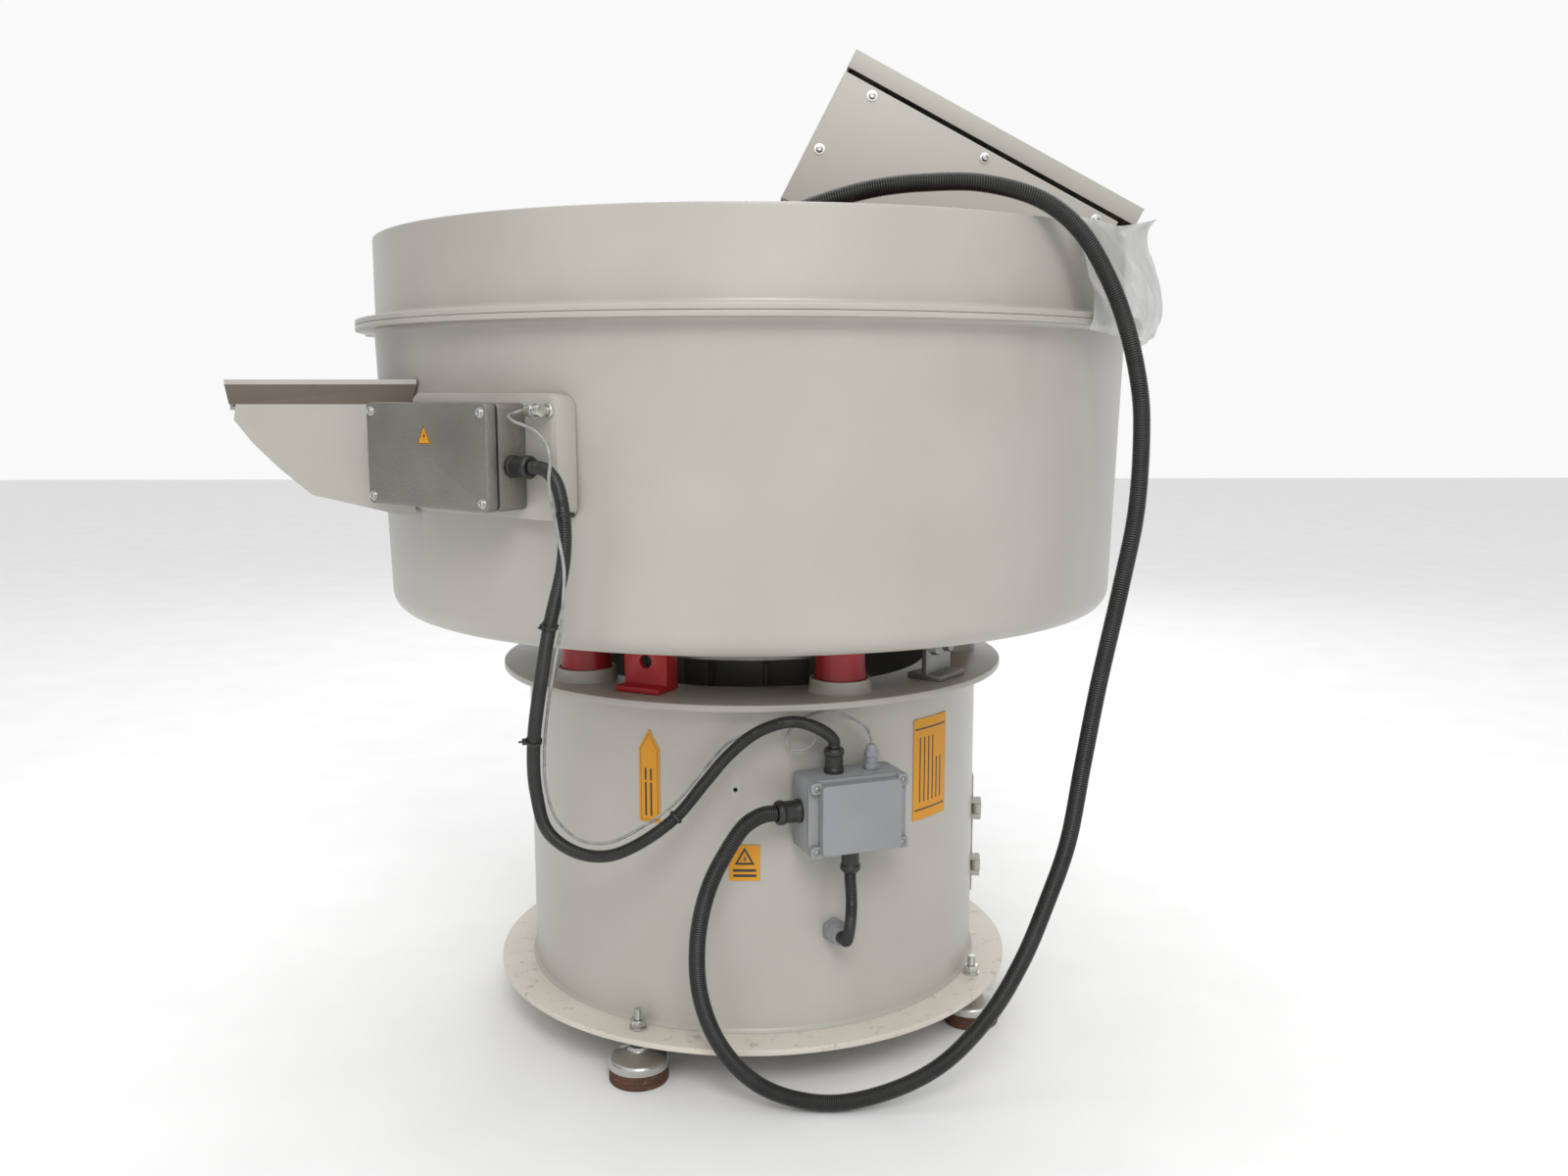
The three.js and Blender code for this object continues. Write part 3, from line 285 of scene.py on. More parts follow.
# ---- shapes in mm -------------------------------------------------------------------------------
class Shape:
    """Vertices and faces gathered in mm, each face with the number of its material."""

    def __init__(self):
        self.verts, self.faces, self.looks = [], [], []

    def add(self, part, place=None, look_number=0):
        verts, faces = part
        start = len(self.verts)
        self.verts += [place @ Vector(v) if place else Vector(v) for v in verts]
        self.faces += [[start + i for i in face] for face in faces]
        self.looks += [look_number] * len(faces)
        return self


def lathe(outline, steps=ROUND):
    """Solid of revolution about Z from a closed outline of [radius, z], or one that ends on the axis."""
    verts, rings = [], []
    for r, z in outline:
        if r < 1e-6:
            rings.append([len(verts)] * steps)
            verts.append((0, 0, z))
            continue
        rings.append(list(range(len(verts), len(verts) + steps)))
        verts += [(r * math.cos(2 * math.pi * i / steps), r * math.sin(2 * math.pi * i / steps), z)
                  for i in range(steps)]
    if outline[0][0] > 1e-6:
        rings.append(rings[0])
    faces = []
    for low, high in zip(rings, rings[1:]):
        for i in range(steps):
            j = (i + 1) % steps
            corners = [low[i], low[j], high[j], high[i]]
            face = [c for k, c in enumerate(corners) if c != corners[k - 1]]
            if len(face) > 2:
                faces.append(face)
    return verts, faces


def softened(outline, radius, closed=True, steps=3):
    """The outline with each corner rounded off."""
    result, count = [], len(outline)
    for i, point in enumerate(outline):
        here = Vector(point)
        if not closed and i in (0, count - 1):
            result.append(point)
            continue
        before, after = Vector(outline[i - 1]) - here, Vector(outline[(i + 1) % count]) - here
        reach = min(radius, before.length * 0.45, after.length * 0.45)
        a, b = here + before.normalized() * reach, here + after.normalized() * reach
        for k in range(steps + 1):
            t = k / steps
            p = a * (1 - t) ** 2 + here * (2 * t * (1 - t)) + b * t ** 2
            result.append((p.x, p.y))
    return result


def arc(r, z, radius, start, end, steps):
    angles = [math.radians(start + (end - start) * i / steps) for i in range(steps + 1)]
    return [(r + radius * math.cos(a), z + radius * math.sin(a)) for a in angles]


def prism(outline, z0, z1):
    count = len(outline)
    verts = [(x, y, z0) for x, y in outline] + [(x, y, z1) for x, y in outline]
    sides = [[i, (i + 1) % count, count + (i + 1) % count, count + i] for i in range(count)]
    return verts, [list(range(count)), list(range(count, 2 * count)), *sides]


def oblong(x0, x1, y0, y1):
    return [(x0, y0), (x1, y0), (x1, y1), (x0, y1)]


def brick(x0, x1, y0, y1, z0, z1):
    return prism(oblong(x0, x1, y0, y1), z0, z1)


def disc(r, z0, z1, soft=0.0, steps=SMALL_ROUND):
    """Cylinder along Z; soft rounds its edges off."""
    outline = oblong(0, r, z0, z1)
    return lathe(softened(outline, soft, False) if soft else outline, steps)


def hoop(r0, r1, z0, z1, soft, steps=SMALL_ROUND):
    """Ring of rectangular section with rounded edges."""
    return lathe(softened(oblong(r0, r1, z0, z1), soft), steps)


def rounded(w, h, corner, steps=6):
    """Outline of a rectangle with rounded corners, centred on the origin."""
    outline = []
    for sx, sy, start in ((1, 1, 0), (-1, 1, 90), (-1, -1, 180), (1, -1, 270)):
        outline += arc(sx * (w / 2 - corner), sy * (h / 2 - corner), corner, start, start + 90, steps)
    return outline


def turned(outline, soft, place=None, steps=64):
    """A shape turned from an outline that starts and ends on the axis, its corners rounded off."""
    return Shape().add(lathe(softened(outline, soft, False), steps), place)


def hex_nut(across_flats, z0, z1, bore=0.0):
    """Hexagon with chamfered corners, standing along Z."""
    flat, corner = across_flats / 2, across_flats / math.sqrt(3)
    verts, faces, steps = [], [], 36
    for z, limit in ((z0, flat), (z0 + 0.9, corner), (z1 - 0.9, corner), (z1, flat)):
        for i in range(steps):
            angle = 2 * math.pi * i / steps
            away = flat / math.cos((angle + math.pi / 6) % (math.pi / 3) - math.pi / 6)
            r = min(away, limit)
            verts.append((r * math.cos(angle), r * math.sin(angle), z))
    for ring in range(3):
        for i in range(steps):
            j = (i + 1) % steps
            faces.append([ring * steps + i, ring * steps + j, (ring + 1) * steps + j, (ring + 1) * steps + i])
    faces += [list(range(steps)), list(range(3 * steps, 4 * steps))]
    return verts, faces


def thread(r, z0, z1, pitch=1.75, steps=20):
    """Threaded stud, as a stack of ridges."""
    outline = [(0, z0)]
    z = z0
    while z < z1 - pitch:
        outline += [(r - 0.9, z), (r, z + pitch / 2)]
        z += pitch
    outline += [(r - 0.9, z), (r - 1.2, z1), (0, z1)]
    return lathe(outline, steps)


def socket_screw(r, height):
    """Cylinder-head screw with a hexagon socket, its head rising along +Z from z = 0."""
    return lathe([(0, 0), (r, 0), (r, height - 0.6), (r - 0.6, height), (r * 0.52, height),
                  (r * 0.46, height - 0.4), (r * 0.46, height * 0.4), (0, height * 0.4)], 24)


def button_screw(r, height):
    """Domed head with a hexagon socket."""
    dome = [(r * math.cos(math.radians(a)), height * math.sin(math.radians(a))) for a in (0, 20, 40, 58)]
    return lathe([(0, -1), (r, -1), *dome, (r * 0.42, height * 0.9), (r * 0.4, height * 0.3),
                  (0, height * 0.3)], 24)


# ---- pieces -------------------------------------------------------------------------------------
def as_mesh(name, shape):
    mesh = bpy.data.meshes.new(name)
    mesh.from_pydata([ROOT @ v for v in shape.verts], [], shape.faces)
    mesh.polygons.foreach_set("material_index", shape.looks)
    return mesh


def tidy_mesh(mesh, sharp=SHARP):
    bm = bmesh.new()
    bm.from_mesh(mesh)
    bmesh.ops.recalc_face_normals(bm, faces=bm.faces)
    bm.to_mesh(mesh)
    bm.free()
    mesh.shade_smooth()
    mesh.set_sharp_from_angle(angle=sharp)


def applied(obj):
    """Replaces the object's mesh by what its modifiers make of it."""
    mesh = bpy.data.meshes.new_from_object(obj.evaluated_get(bpy.context.evaluated_depsgraph_get()))
    obj.modifiers.clear()
    obj.data = mesh


def bevelled(obj, width, segments=2):
    modifier = obj.modifiers.new("edges", "BEVEL")
    modifier.width = width * MM
    modifier.segments = segments
    modifier.limit_method = "ANGLE"
    modifier.angle_limit = SHARP
    modifier.use_clamp_overlap = True
    applied(obj)


def cut_out(obj, cutters):
    for cutter in cutters:
        tool = put("tool", as_mesh("tool", cutter))
        tidy_mesh(tool.data)
        modifier = obj.modifiers.new("cut", "BOOLEAN")
        modifier.operation = "DIFFERENCE"
        modifier.solver = "EXACT"
        modifier.object = tool
        applied(obj)
        bpy.data.objects.remove(tool)


def settle(obj, body, replaced=(), across=None):
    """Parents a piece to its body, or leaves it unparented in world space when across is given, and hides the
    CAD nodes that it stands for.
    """
    if across:
        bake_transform(obj)
    else:
        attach(obj, body)
    if replaced:
        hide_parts(*replaced)
    return obj


def piece(name, shape, body, slots, replaced=(), bevel=0.0, cutters=(), sharp=SHARP, across=None):
    """A new piece made from a shape.

    across: two points in mm where it passes from one body to the other; when given, the piece is left
    unparented in world space, and the points themselves are not used.
    """
    obj = put(name, as_mesh(name, shape))
    tidy_mesh(obj.data)
    for slot in slots:
        obj.data.materials.append(LOOKS[slot])
    if cutters:
        cut_out(obj, cutters)
    if bevel:
        bevelled(obj, bevel)
    tidy_mesh(obj.data, sharp)
    return settle(obj, body, replaced, across)


def refined(name, cad_node, body, slots, bevel=0.8, choose=None):
    """The CAD node's own form with rounded edges; choose picks a face's slot from its centre in mm."""
    bm = bmesh.new()
    bm.from_mesh(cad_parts[cad_node].data)
    bmesh.ops.remove_doubles(bm, verts=bm.verts, dist=2e-5)
    bmesh.ops.dissolve_limit(bm, angle_limit=math.radians(0.5), verts=bm.verts, edges=bm.edges)
    back = ROOT.inverted()
    for face in bm.faces:
        face.material_index = choose(back @ face.calc_center_median()) if choose else 0
    mesh = bpy.data.meshes.new(name)
    bm.to_mesh(mesh)
    bm.free()
    obj = put(name, mesh)
    for slot in slots:
        mesh.materials.append(LOOKS[slot])
    if bevel:
        bevelled(obj, bevel)
    tidy_mesh(obj.data)
    return settle(obj, body, [cad_node])


# ---- conduits and wire --------------------------------------------------------------------------
def smooth_route(points, spacing):
    """Centripetal Catmull-Rom curve through the points, sampled at an even spacing in mm."""
    points = [Vector(p) for p in points]
    points = [2 * points[0] - points[1], *points, 2 * points[-1] - points[-2]]
    dense = []
    for p0, p1, p2, p3 in zip(points, points[1:], points[2:], points[3:]):
        d0, d1, d2 = (max((b - a).length ** 0.5, 1e-4) for a, b in ((p0, p1), (p1, p2), (p2, p3)))
        t1 = ((p1 - p0) / d0 - (p2 - p0) / (d0 + d1) + (p2 - p1) / d1) * d1
        t2 = ((p2 - p1) / d1 - (p3 - p1) / (d1 + d2) + (p3 - p2) / d2) * d1
        for k in range(24):
            t = k / 24
            square, cube = 3 * (p2 - p1) - 2 * t1 - t2, 2 * (p1 - p2) + t1 + t2
            dense.append(p1 + t1 * t + square * t ** 2 + cube * t ** 3)
    dense.append(points[-2])
    even, left = [dense[0]], spacing
    for a, b in zip(dense, dense[1:]):
        gap = (b - a).length
        while gap > 1e-9 and left <= gap:
            even.append(a + (b - a) * (left / gap))
            a = even[-1]
            gap -= left
            left = spacing
        left -= gap
    even[-1] = dense[-1]
    return even


def tube(line, radii, sides):
    """Closed tube along a line; radii gives one radius for each point."""
    verts, faces = [], []
    side = None
    for i, point in enumerate(line):
        ahead = (line[min(i + 1, len(line) - 1)] - line[max(i - 1, 0)]).normalized()
        side = (side - ahead * side.dot(ahead)).normalized() if side else ahead.orthogonal().normalized()
        other = ahead.cross(side)
        for k in range(sides):
            angle = 2 * math.pi * k / sides
            verts.append(point + (side * math.cos(angle) + other * math.sin(angle)) * radii[i])
    for i in range(len(line) - 1):
        for k in range(sides):
            j = (k + 1) % sides
            faces.append([i * sides + k, i * sides + j, (i + 1) * sides + j, (i + 1) * sides + k])
    faces += [list(range(sides)), [(len(line) - 1) * sides + k for k in range(sides)]]
    return verts, faces


def corrugated(line, radius):
    """Radii of a ribbed tube, three rings to a rib: groove, crest, crest."""
    depth = radius * 0.11
    return [radius - depth if i % 3 == 0 else radius for i in range(len(line))]


def seen_from(azimuth, r, z, x, y, dz):
    """A point given beside a station, in mm around the bowl's axis."""
    return station(azimuth, r, z) @ Vector((x, y, dz))


JUNCTION_MIDDLE = -JUNCTION_BODY / 2 - 5


def junction_point(x, y, dz):
    return seen_from(JUNCTION_AZIMUTH, JUNCTION_R, JUNCTION_Z, x, y, dz)


def terminal_point(x):
    return seen_from(TERMINAL_AZIMUTH, TERMINAL_R, TERMINAL_Z, x, TERMINAL_GLAND_Y, TERMINAL_GLAND_Z)


def elbow_point(reach, out):
    x, y = ELBOW_X - ELBOW_LENGTH - reach, -ELBOW_STAND - out
    return seen_from(TERMINAL_AZIMUTH, PAD_FRONT, TERMINAL_Z, x, y, ELBOW_Z)


def wall_point(out, z):
    return seen_from(WALL_GLAND_AZIMUTH, PEDESTAL_R + 29 + GAP + out, z, 0, 0, 0)


def conduit_routes():
    junction_side, terminal_side = JUNCTION_W / 2 + GLAND_LENGTH, TERMINAL_W / 2 + GLAND_LENGTH
    junction_top = JUNCTION_H / 2 + GLAND_LENGTH
    main = [
        junction_point(-junction_side, JUNCTION_MIDDLE, SIDE),
        junction_point(-junction_side - 16, JUNCTION_MIDDLE, SIDE),
        (-10, -392, 372), (-34, -402, 340), (-56, -406, 295), (-70, -408, 228),
        (-66, -408, 151), (-38, -408, 83), (11, -408, 34), (86, -408, 12), (160, -410, 24),
        (234, -412, 62), (295, -414, 130), (334, -416, 202), (362, -419, 279), (385, -421, 355),
        (400, -424, 455), (415, -426, 552), (438, -426, 672), (454, -424, 765), (458, -420, 857),
        (455, -418, 903), (439, -416, 973), (413, -418, 1035), (376, -421, 1090), (331, -425, 1122),
        (264, -424, 1140), (197, -418, 1141), (147, -415, 1136), (98, -408, 1125), (44, -388, 1108),
        (6, -348, 1090), (-9, -290, 1076), (-10, -225, 1069), (-10, -170, 1068),
        (-10, -CRADLE_HALF - 32, 1068),
    ]
    motor = [
        terminal_point(terminal_side), terminal_point(terminal_side + 10),
        (-224, -531, 819), (-212, -543, 806), (-205, -550, 780), (-203, -552, 750), (-206, -551, 716),
        (-223, -541, 650), (-238, -525, 578), (-252, -494, 503), (-256, -460, 436), (-246, -440, 381),
        (-214, -425, 350), (-179, -415, 342), (-144, -405, 352), (-96, -395, 384), (-60, -385, 425),
        (-29, -380, 460), (7, -375, 487), (50, -370, 498), (84, -362, 486),
        junction_point(TOP_BLACK, JUNCTION_MIDDLE, junction_top + 8),
        junction_point(TOP_BLACK, JUNCTION_MIDDLE, junction_top),
    ]
    supply = [
        junction_point(BELOW, JUNCTION_MIDDLE - 6, -junction_top),
        junction_point(BELOW, JUNCTION_MIDDLE - 6, -junction_top - 8),
        (125, -358, 255), (122, -366, 225), wall_point(18, WALL_GLAND_Z + 2),
        wall_point(6, WALL_GLAND_Z), wall_point(0, WALL_GLAND_Z),
    ]
    wire = [
        elbow_point(GAP, 0), elbow_point(8, 0), (-263, -501, 881), (-267, -512, 878),
        (-260, -525, 873), (-245, -539, 868), (-230, -551, 861), (-218, -561, 846), (-215, -564, 830),
        (-217, -564, 812), (-216, -563, 794), (-212, -563, 772), (-207, -564, 744), (-203, -564, 716),
        (-205, -559, 685), (-210, -547, 650),
        (-226, -524, 578), (-240, -490, 503), (-244, -457, 436), (-234, -436, 392), (-208, -420, 363),
        (-178, -407, 356), (-147, -395, 366), (-98, -385, 398), (-62, -374, 438), (-32, -367, 470),
        (4, -359, 484), (46, -354, 490), (66, -351, 488), (77, -350, 480), (79, -349, 470),
        (71, -348, 460), (58, -347, 455), (46, -346, 459), (42, -345, 469), (48, -344, 483),
        (66, -343, 498), (96, -344, 504), (124, -341, 495), (143, -336, 482),
        junction_point(TOP_GREY, JUNCTION_MIDDLE, junction_top + 6),
        junction_point(TOP_GREY, JUNCTION_MIDDLE, junction_top),
    ]
    return main, motor, supply, wire


MAIN_CROSSING = ((AXIS_X / MM, 0, 500), (AXIS_X / MM, 0, 1000))
MOTOR_CROSSING = ((AXIS_X / MM, 0, 510), (AXIS_X / MM, 0, 780))


def make_cord(name, cad_node, route, radius, slot, body, across=None,
              rib=2.9, sides=14, ribbed=True):
    line = smooth_route(route, rib / 3 if ribbed else 3)
    radii = corrugated(line, radius) if ribbed else [radius] * len(line)
    obj = piece(name, Shape().add(tube(line, radii, sides)), body, [slot], [cad_node],
                sharp=math.radians(85), across=across)
    return line


def cable_tie(name, line, at, radius, body, across):
    """Black tie around a conduit and the wire beside it."""
    i = min(range(len(line)), key=lambda k: (line[k] - Vector(at)).length)
    ahead = (line[i + 1] - line[i - 1]).normalized()
    place = Matrix.Translation(line[i]) @ ahead.to_track_quat("Z", "Y").to_matrix().to_4x4()
    shape = Shape().add(hoop(radius + 0.2, radius + 1.6, -2.2, 2.2, 0.4), place)
    shape.add(brick(radius + 0.8, radius + 5.4, -2.8, 2.8, -2.8, 2.8), place)
    shape.add(brick(radius + 5.0, radius + 9.5, -1.2, 1.2, -0.6, 0.6), place)
    piece(name, shape, body, ["black_plastic"], bevel=0.4, across=across)


def make_conduits():
    main, motor, supply, wire = conduit_routes()
    base_to_bowl = ("base", "bowl")
    make_cord("main_conduit_ribbed", "main_conduit", main, MAIN_R, "conduit_plastic",
              base_to_bowl, MAIN_CROSSING)
    line = make_cord("motor_conduit_ribbed", "motor_conduit", motor, MOTOR_CONDUIT_R, "conduit_plastic",
                     base_to_bowl, MOTOR_CROSSING, rib=2.6, sides=12)
    make_cord("supply_conduit_ribbed", "supply_conduit", supply, MOTOR_CONDUIT_R, "conduit_plastic", "base",
              rib=2.6, sides=12)
    make_cord("sensor_wire_sleeved", "sensor_wire", wire, WIRE_R, "wire_sleeve", base_to_bowl, MOTOR_CROSSING,
              sides=10, ribbed=False)
    for number, at in enumerate([(-205, -550, 772), (-223, -541, 650), (-250, -497, 508), (-96, -395, 384)]):
        cable_tie(f"cable_tie_{number + 1}", line, at, MOTOR_CONDUIT_R, base_to_bowl, MOTOR_CROSSING)


# ---- glands -------------------------------------------------------------------------------------
def gland_shape(cord_r, place):
    """Cable gland along +Z from its base: hexagon, body, ribbed dome nut."""
    r = cord_r + 4
    shape = Shape()
    dome = [(0, 23), (r - 0.3, 23), (r - 0.8, 28), (cord_r + 1.2, 32), (0, 32)]
    shape.add(hex_nut(2 * r + 3, 0, 7), place)
    shape.add(disc(r, 6, 16), place)
    shape.add(hex_nut(2 * r + 1, 15, 24), place)
    shape.add(lathe(softened(dome, 1.4, False), SMALL_ROUND), place)
    for i in range(12):
        shape.add(brick(r - 1.2, r + 0.3, -0.7, 0.7, 17, 23.5), place @ turn("Z", 30 * i))
    return shape


def sleeve_shape(cord_r, place):
    """Straight smooth connector for a ribbed conduit: a shoulder, a body and a rolled mouth."""
    r = cord_r + 3.6
    outline = [(0, 0), (r + 1.2, 0), (r + 1.2, 5), (r, 6.5), (r, 22), (r + 1.6, 24), (r + 1.6, 29),
               (r - 0.4, 32), (cord_r, 32), (cord_r, 27), (0, 27)]
    return turned(outline, 0.8, place, SMALL_ROUND)


def make_glands():
    box = station(TERMINAL_AZIMUTH, TERMINAL_R, TERMINAL_Z)
    to_right, to_left, down = turn("Y", 90), turn("Y", -90), turn("Y", 180)
    place = box @ shift(TERMINAL_W / 2 + GAP, TERMINAL_GLAND_Y, TERMINAL_GLAND_Z) @ to_right
    piece("terminal_gland", sleeve_shape(MOTOR_CONDUIT_R, place), "bowl", ["black_plastic"],
          ["terminal_box_gland"])
    box = station(JUNCTION_AZIMUTH, JUNCTION_R, JUNCTION_Z)
    top, side = JUNCTION_H / 2 + GAP, JUNCTION_W / 2 + GAP
    rows = [
        ("junction_gland_motor", sleeve_shape, MOTOR_CONDUIT_R, shift(TOP_BLACK, JUNCTION_MIDDLE, top),
         "black_plastic", "gland_top_black"),
        ("junction_gland_wire", gland_shape, WIRE_R + 2, shift(TOP_GREY, JUNCTION_MIDDLE, top),
         "grey_plastic", "gland_top_grey"),
        ("junction_gland_main", sleeve_shape, MAIN_R, shift(-side, JUNCTION_MIDDLE, SIDE) @ to_left,
         "black_plastic", "gland_side_black"),
        ("junction_gland_supply", sleeve_shape, MOTOR_CONDUIT_R,
         shift(BELOW, JUNCTION_MIDDLE - 6, -top) @ down, "black_plastic", "gland_bottom_black"),
    ]
    for name, kind, cord_r, place, slot, cad_node in rows:
        piece(name, kind(cord_r, box @ place), "base", [slot], [cad_node])
    wall = station(WALL_GLAND_AZIMUTH, PEDESTAL_R + 1, WALL_GLAND_Z) @ OUTWARDS
    shape = Shape().add(hex_nut(29, 0, 8), wall)
    dome = [(0, 7), (15, 7), (15, 17), (12.4, 23), (12, 28), (0, 28)]
    shape.add(lathe(softened(dome, 1.5, False), SMALL_ROUND), wall)
    shape.add(disc(9, -11, 1), wall)
    piece("pedestal_gland", shape, "base", ["grey_plastic"], ["wall_gland"])


# ---- pedestal -----------------------------------------------------------------------------------
def make_pedestal():
    ring = hoop(FLOOR_RING_BORE, FLOOR_RING_R, FLOOR_RING_Z, FLOOR_RING_TOP, 1.2, ROUND)
    piece("floor_ring_plate", Shape().add(ring), "base", ["dusty_paint"], ["floor_ring"])

    z0, z1, wall = FLOOR_RING_TOP + GAP, DECK_Z - GAP, 4
    r = PEDESTAL_R
    fillet = [(r + 5, z0), (r + 3.4, z0 + 1.6), (r + 1.2, z0 + 3.6), (r, z0 + 6)]
    collar = [(r, z1 - 5), (r + 1, z1 - 3), (r + 4, z1)]
    outline = [(r - wall, z0), *fillet, *collar, (r - wall, z1)]
    doorway = Shape().add(brick(-102, 102, -400, -250, DOOR_Z + 18, DOOR_TOP - 18), turn("Z", 103))
    cable_hole = Shape().add(disc(11, -20, 20), station(WALL_GLAND_AZIMUTH, r, WALL_GLAND_Z) @ OUTWARDS)
    small_hole = Shape().add(disc(3, -20, 20), station(-4, r, 399) @ OUTWARDS)
    piece("pedestal_tube", Shape().add(lathe(outline)), "base", ["painted_steel"], ["pedestal_shell"],
          cutters=[doorway, cable_hole, small_hole])
    lugs = Shape()
    for z in HINGE_HEIGHTS:
        for offset in (0, 24):
            lugs.add(brick(-6, 6, -HINGE_R - 5, -r + 1.5, z + offset, z + offset + 8), turn("Z", DOOR_FROM))
        lugs.add(disc(3, z, z + 32, steps=20), station(DOOR_FROM, HINGE_R))
    piece("hinge_lugs", lugs, "base", ["painted_steel"], ["pedestal_shell"], bevel=0.8)

    shape = Shape().add(hoop(DECK_BORE, DECK_R, DECK_Z, DECK_TOP, 1.6, ROUND))
    cup = softened([(35.6, DECK_TOP - 1), (43, DECK_TOP - 1), (41.5, DECK_TOP + 2), (40, DECK_TOP + 12),
                    (40, DECK_TOP + 17), (36, DECK_TOP + 17)], 1.2)
    for azimuth in SPRING_AZIMUTHS:
        shape.add(lathe(cup, 64), station(azimuth, SPRING_PITCH_R))
    piece("spring_deck_plate", shape, "base", ["painted_steel"], ["spring_deck"])

    z0, r = DECK_TOP + GAP, SPRING_R
    wall = [(SPRING_BORE, z0), (r, z0), (r, z0 + 14), (r - 1.6, z0 + 28), (r - 2.2, z0 + 43),
            (r - 1.6, z0 + 58), (r, z0 + 72), (r, SPRING_TOP), (SPRING_BORE, SPRING_TOP)]
    for number, azimuth in enumerate(SPRING_AZIMUTHS, 1):
        place = station(azimuth, SPRING_PITCH_R)
        foot = AXIS_X / MM + place.translation.x, place.translation.y
        shape = Shape().add(lathe(softened(wall, 1.5), 64), place)
        piece(f"spring_element_{number}", shape, ("base", "bowl"), ["spring_red"],
              [f"support_spring_{number}"], across=((*foot, z0), (*foot, SPRING_TOP)))


def make_mounts():
    cap = [(0, 19.3), (40, 19.3), (40, 29), (37.5, 32), (24, 36), (15, 40), (13, 42), (13, 47), (0, 47)]
    pad = [(0, 0), (38.5, 0), (39.5, 2), (39.5, 6), (38.4, 7.2), (39.5, 8.4), (39.5, 12), (38.4, 13.2),
           (39.5, 14.4), (39.5, 19), (0, 19)]
    top = FLOOR_RING_TOP
    for number, azimuth in enumerate(MOUNT_AZIMUTHS, 1):
        place = station(azimuth, MOUNT_R)
        shape = turned(cap, 1.2, place)
        shape.add(thread(6, 46, 97), place)
        shape.add(hex_nut(19, 51.6, FLOOR_RING_Z - GAP), place @ turn("Z", 17))
        shape.add(disc(12, top + GAP, top + 2.8, 0.5), place)
        shape.add(hex_nut(19, top + 2.6, top + 13), place @ turn("Z", 40))
        piece(f"levelling_foot_{number}", shape, "base", ["zinc_plate"], [f"levelling_mount_{number}"])
        piece(f"foot_rubber_{number}", turned(pad, 0.6, place), "base", ["mount_rubber"],
              [f"mount_pad_{number}"])


def make_brackets():
    refined("transport_bracket_red_plate", "transport_bracket_red", "base", ["red_paint"], 1.2)
    refined("transport_bracket_grey_plate", "transport_bracket_grey", "base", ["bare_steel"], 0.8)


def wrapped(shape, outline, azimuth, z, r0, r1, look_number=0):
    """A thin sheet lying round the pedestal: its outline in mm, x along the wall and y up."""
    def on_wall(x, y, r):
        angle = math.radians(azimuth) + x / PEDESTAL_R
        return r * math.sin(angle), -r * math.cos(angle), z + y

    bm = bmesh.new()
    ring = [bm.verts.new((x, y, 0)) for x, y in outline]
    bm.faces.new(ring)
    low, high = min(x for x, _ in outline), max(x for x, _ in outline)
    x = math.floor(low / 4) * 4
    while x < high:
        bmesh.ops.bisect_plane(bm, geom=bm.verts[:] + bm.edges[:] + bm.faces[:], plane_co=(x, 0, 0),
                               plane_no=(1, 0, 0))
        x += 4
    bm.verts.index_update()
    flat = [v.co.copy() for v in bm.verts]
    faces = [[v.index for v in f.verts] for f in bm.faces]
    rim = [[v.index for v in e.verts] for e in bm.edges if e.is_boundary]
    bm.free()
    count = len(flat)
    verts = [on_wall(v.x, v.y, r0) for v in flat] + [on_wall(v.x, v.y, r1) for v in flat]
    walls = [[a, b, b + count, a + count] for a, b in rim]
    shape.add((verts, faces + [[i + count for i in f] for f in faces] + walls), None, look_number)


def triangle_mark(half):
    """Outlines of a warning triangle and a plain zigzag bolt inside it, about its centre."""
    outer = [(-half, -half * 0.8), (half, -half * 0.8), (0, half)]
    bolt = [(half * 0.12, half * 0.42), (-half * 0.22, -half * 0.16), (half * 0.02, -half * 0.12),
            (-half * 0.1, -half * 0.58), (half * 0.26, half * 0.04), (half * 0.02, half * 0.02)]
    return outer, bolt


def blank_label(outline, azimuth, z):
    """A label stuck on the pedestal, and a function that prints a black outline on it."""
    back, front = PEDESTAL_R + 0.4, PEDESTAL_R + 1.1
    shape = Shape()
    wrapped(shape, outline, azimuth, z, back, front)
    return shape, lambda mark: wrapped(shape, mark, azimuth, z, front, front + 0.1, 1)


def stick(name, shape, cad_node):
    piece(name, shape, "base", ["label_film", "label_black"], [cad_node])


def make_arrow_label():
    half = 62
    arrow = [(-15, -half), (15, -half), (15, half - 26), (0, half), (-15, half - 26)]
    inner = [(-12, -half + 3), (12, -half + 3), (12, half - 27), (0, half - 6), (-12, half - 27)]
    shape, mark = blank_label(arrow, *ARROW_LABEL)
    for a, b in zip(inner, inner[1:] + inner[:1]):
        across = Vector((a[1] - b[1], b[0] - a[0])).normalized() * 0.3
        mark([(a[0] - across.x, a[1] - across.y), (b[0] - across.x, b[1] - across.y),
              (b[0] + across.x, b[1] + across.y), (a[0] + across.x, a[1] + across.y)])
    for x in (-6.5, 1.2):
        mark(oblong(x, x + 2.6, -half + 8, -9))
        mark(oblong(x, x + 2.6, -6, 10))
    stick("lifting_arrow_sticker", shape, "lifting_arrow_label")


def make_instruction_label():
    shape, mark = blank_label(oblong(-36, 36, -70, 70), *INSTRUCTION_LABEL)
    for y in (-57, 55):
        mark(oblong(-33, 33, y, y + 2.2))
    for x in (-24, -15, -6, 3, 12, 21):
        mark(oblong(x, x + 2.4, -46, 44 if x < 10 else 12))
    stick("instruction_sticker", shape, "instruction_label")


